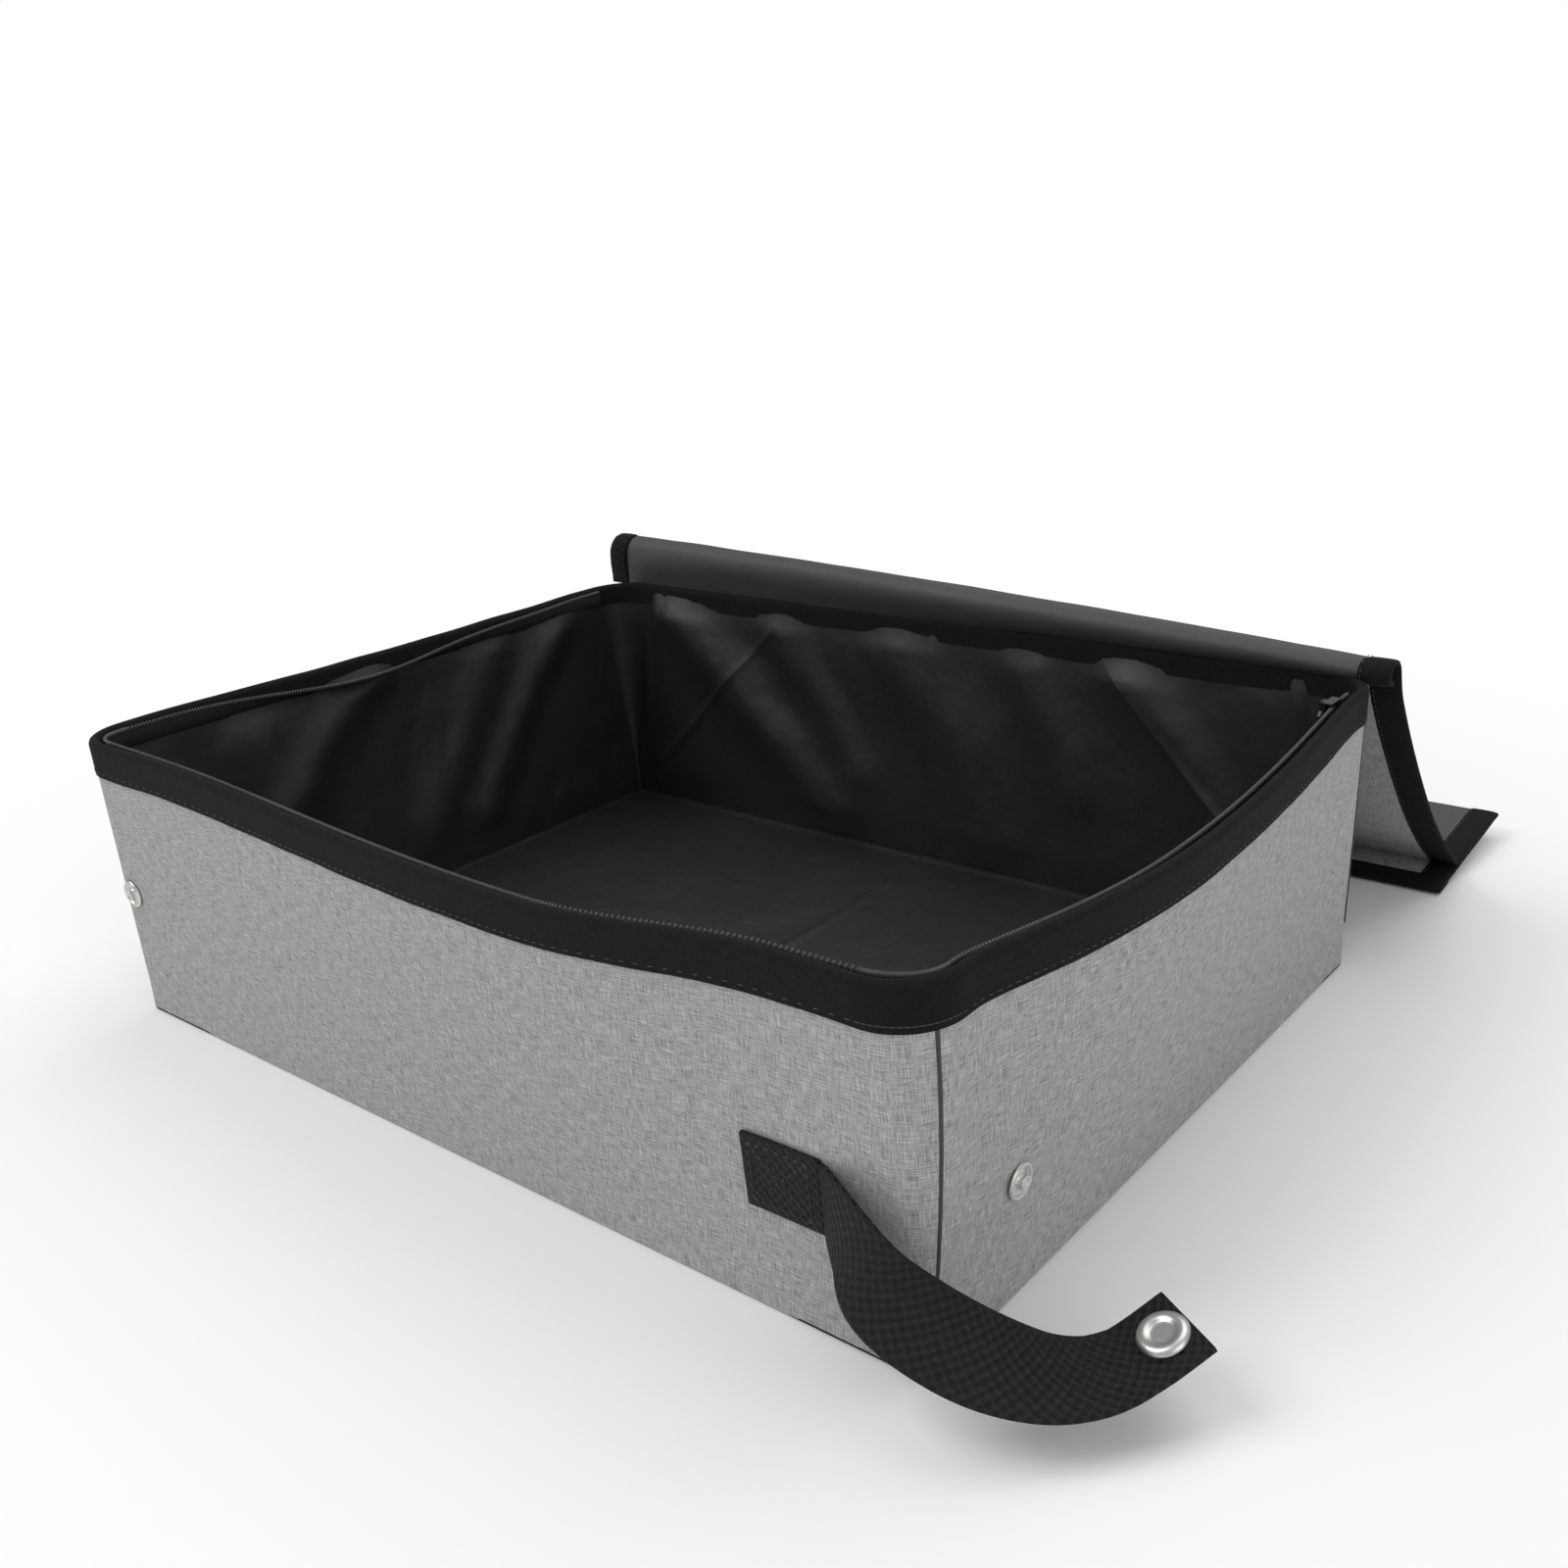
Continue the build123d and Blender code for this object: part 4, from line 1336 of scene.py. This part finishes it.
def snap_piece(name, outline, point, out, body, node_name):
    """A round piece spun from its outline, standing at a point with its axis out."""
    maker = bmesh.new()
    chain = [maker.verts.new((radius * MM, 0, height * MM)) for radius, height in outline]
    runs = [maker.edges.new(pair) for pair in zip(chain, chain[1:])]
    whole = {"cent": (0, 0, 0), "axis": (0, 0, 1), "angle": 2 * math.pi, "steps": 48, "use_merge": True}
    bmesh.ops.spin(maker, geom=chain + runs, **whole)
    bmesh.ops.remove_doubles(maker, verts=maker.verts, dist=0.005 * MM)
    bmesh.ops.recalc_face_normals(maker, faces=maker.faces)
    stand = Matrix.Translation(point) @ Vector(out).to_track_quat("Z", "Y").to_matrix().to_4x4()
    bmesh.ops.transform(maker, matrix=stand, verts=maker.verts)
    piece = finish_mesh(maker, name, nickel)
    rounding = piece.modifiers.new("Rounding", "SUBSURF")
    rounding.levels = rounding.render_levels = 1
    dress(piece, "snap_metal", node_name, body=body)


snap_place = 0.6  # Between the last two stations.
snap_centre = stations[-2].lerp(stations[-1], snap_place)
snap_out = squared((stations[-1] - stations[-2]).normalized(), edges[-1])[1]
skin = snap_out * (strap_thickness / 2)
snap_piece("cap_pressed", cap_outline, snap_centre + skin, snap_out, "strap", "snap_cap")
snap_piece("socket_pressed", socket_outline, snap_centre - skin, -snap_out, "strap", "snap_socket")
for wall in ("right", "front"):
    low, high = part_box(wall + "_stud")
    centre = (low + high) / 2
    spot = wall_point(wall, centre.x if is_long(wall) else centre.y, centre.z, 0)
    out = wall_axes(wall)[0] * math.cos(lean) - Vector((0, 0, math.sin(lean)))
    snap_piece(wall + "_stud_pressed", stud_outline, spot, out, wall + "_wall", wall + "_stud")
print("strap and snap dressed")

# %% [markdown]
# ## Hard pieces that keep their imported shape
#
# The zip's slider and pull and the floor boards already have their true form, so they only get a finish.

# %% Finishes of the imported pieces
packed_finishes = {"zip_slider": enamel, "zip_pull": enamel}
packed_finishes.update({"base_board_right": board, "base_board_left": board})
for node_name, finish in packed_finishes.items():
    frame["nodes"][node_name].data.materials.clear()
    frame["nodes"][node_name].data.materials.append(finish)

# %% [markdown]
# ## Floor, light and camera
#
# The photograph is a studio shot on white, so the floor is pale and the light is soft: a large lamp above
# and to the left, a weaker one on the right, one behind, and a white surround that also gives the lining
# its gloss.

# %% Stage
def pale_floor():
    """A plain pale floor that fades to white away from the tray."""
    material, tree, shader = blank("Pale floor")
    plug(tree, shader, {"Base Color": (0.93, 0.93, 0.93, 1), "Roughness": 0.9})
    place = node(tree, "ShaderNodeTexCoord").outputs["Object"]
    away = node(tree, "ShaderNodeVectorMath", {0: place}, operation="LENGTH").outputs["Value"]
    edge = {"From Min": 0.3, "From Max": 0.62, "Value": away}
    fade = node(tree, "ShaderNodeMapRange", edge, interpolation_type="SMOOTHSTEP").outputs[0]
    seen = node(tree, "ShaderNodeLightPath").outputs["Is Camera Ray"]
    white = node(tree, "ShaderNodeEmission", {"Strength": 1.0}).outputs[0]
    choice = {0: maths(tree, "MULTIPLY", fade, seen), 1: shader.outputs[0], 2: white}
    both = node(tree, "ShaderNodeMixShader", choice).outputs[0]
    plug(tree, tree.nodes["Material Output"], {"Surface": both})
    maker = bmesh.new()
    bmesh.ops.create_grid(maker, x_segments=4, y_segments=4, size=6)
    bmesh.ops.translate(maker, vec=(0, 0, -0.7 * MM), verts=maker.verts)
    return finish_mesh(maker, "pale_floor", material, smooth=False)


def white_surround():
    """A white world, brighter where the camera sees it than where it lights the tray."""
    world = bpy.data.worlds.new("Studio")
    world.use_nodes = True
    tree = world.node_tree
    seen = node(tree, "ShaderNodeLightPath").outputs["Is Camera Ray"]
    glow = node(tree, "ShaderNodeMapRange", {"To Min": 0.5, "To Max": 1.0, "Value": seen}).outputs[0]
    plug(tree, tree.nodes["Background"], {"Color": (1, 1, 1, 1), "Strength": glow})
    bpy.context.scene.world = world


def soft_lamp(name, place, size, power):
    """A square area lamp that faces the tray."""
    data = bpy.data.lights.new(name, "AREA")
    data.size = size
    data.energy = power
    lamp = bpy.data.objects.new(name, data)
    lamp.location = place
    lamp.rotation_euler = (Vector((0, 0, 0.05)) - Vector(place)).to_track_quat("-Z", "Y").to_euler()
    bpy.context.scene.collection.objects.link(lamp)


pale_floor()
white_surround()
soft_lamp("key", (-0.9, -1.1, 1.7), 1.2, 19)
soft_lamp("fill", (1.6, -0.6, 1.0), 1.2, 6)
soft_lamp("top", (0.1, 0.7, 1.6), 1.4, 9)

# %% Camera at the photograph's angle
camera_place = Vector((403.4, -430.5, 300.5)) * MM
yaw, pitch, roll = math.radians(40.58), math.radians(19.91), math.radians(-3.85)
focal_pixels = 1603.2
photo_width = 1600
look = Vector((-math.sin(yaw) * math.cos(pitch), math.cos(yaw) * math.cos(pitch), -math.sin(pitch)))
level_right = Vector((math.cos(yaw), math.sin(yaw), 0))
level_up = level_right.cross(look)
right = level_right * math.cos(roll) + level_up * math.sin(roll)
up = level_up * math.cos(roll) - level_right * math.sin(roll)
camera_data = bpy.data.cameras.new("Photograph")
camera_data.sensor_width = 36
camera_data.lens = camera_data.sensor_width * focal_pixels / photo_width
camera = bpy.data.objects.new("Photograph", camera_data)
camera.matrix_world = Matrix.Translation(camera_place) @ Matrix((right, up, -look)).transposed().to_4x4()
bpy.context.scene.collection.objects.link(camera)
bpy.context.scene.camera = camera
bpy.context.scene.view_settings.view_transform = "Standard"
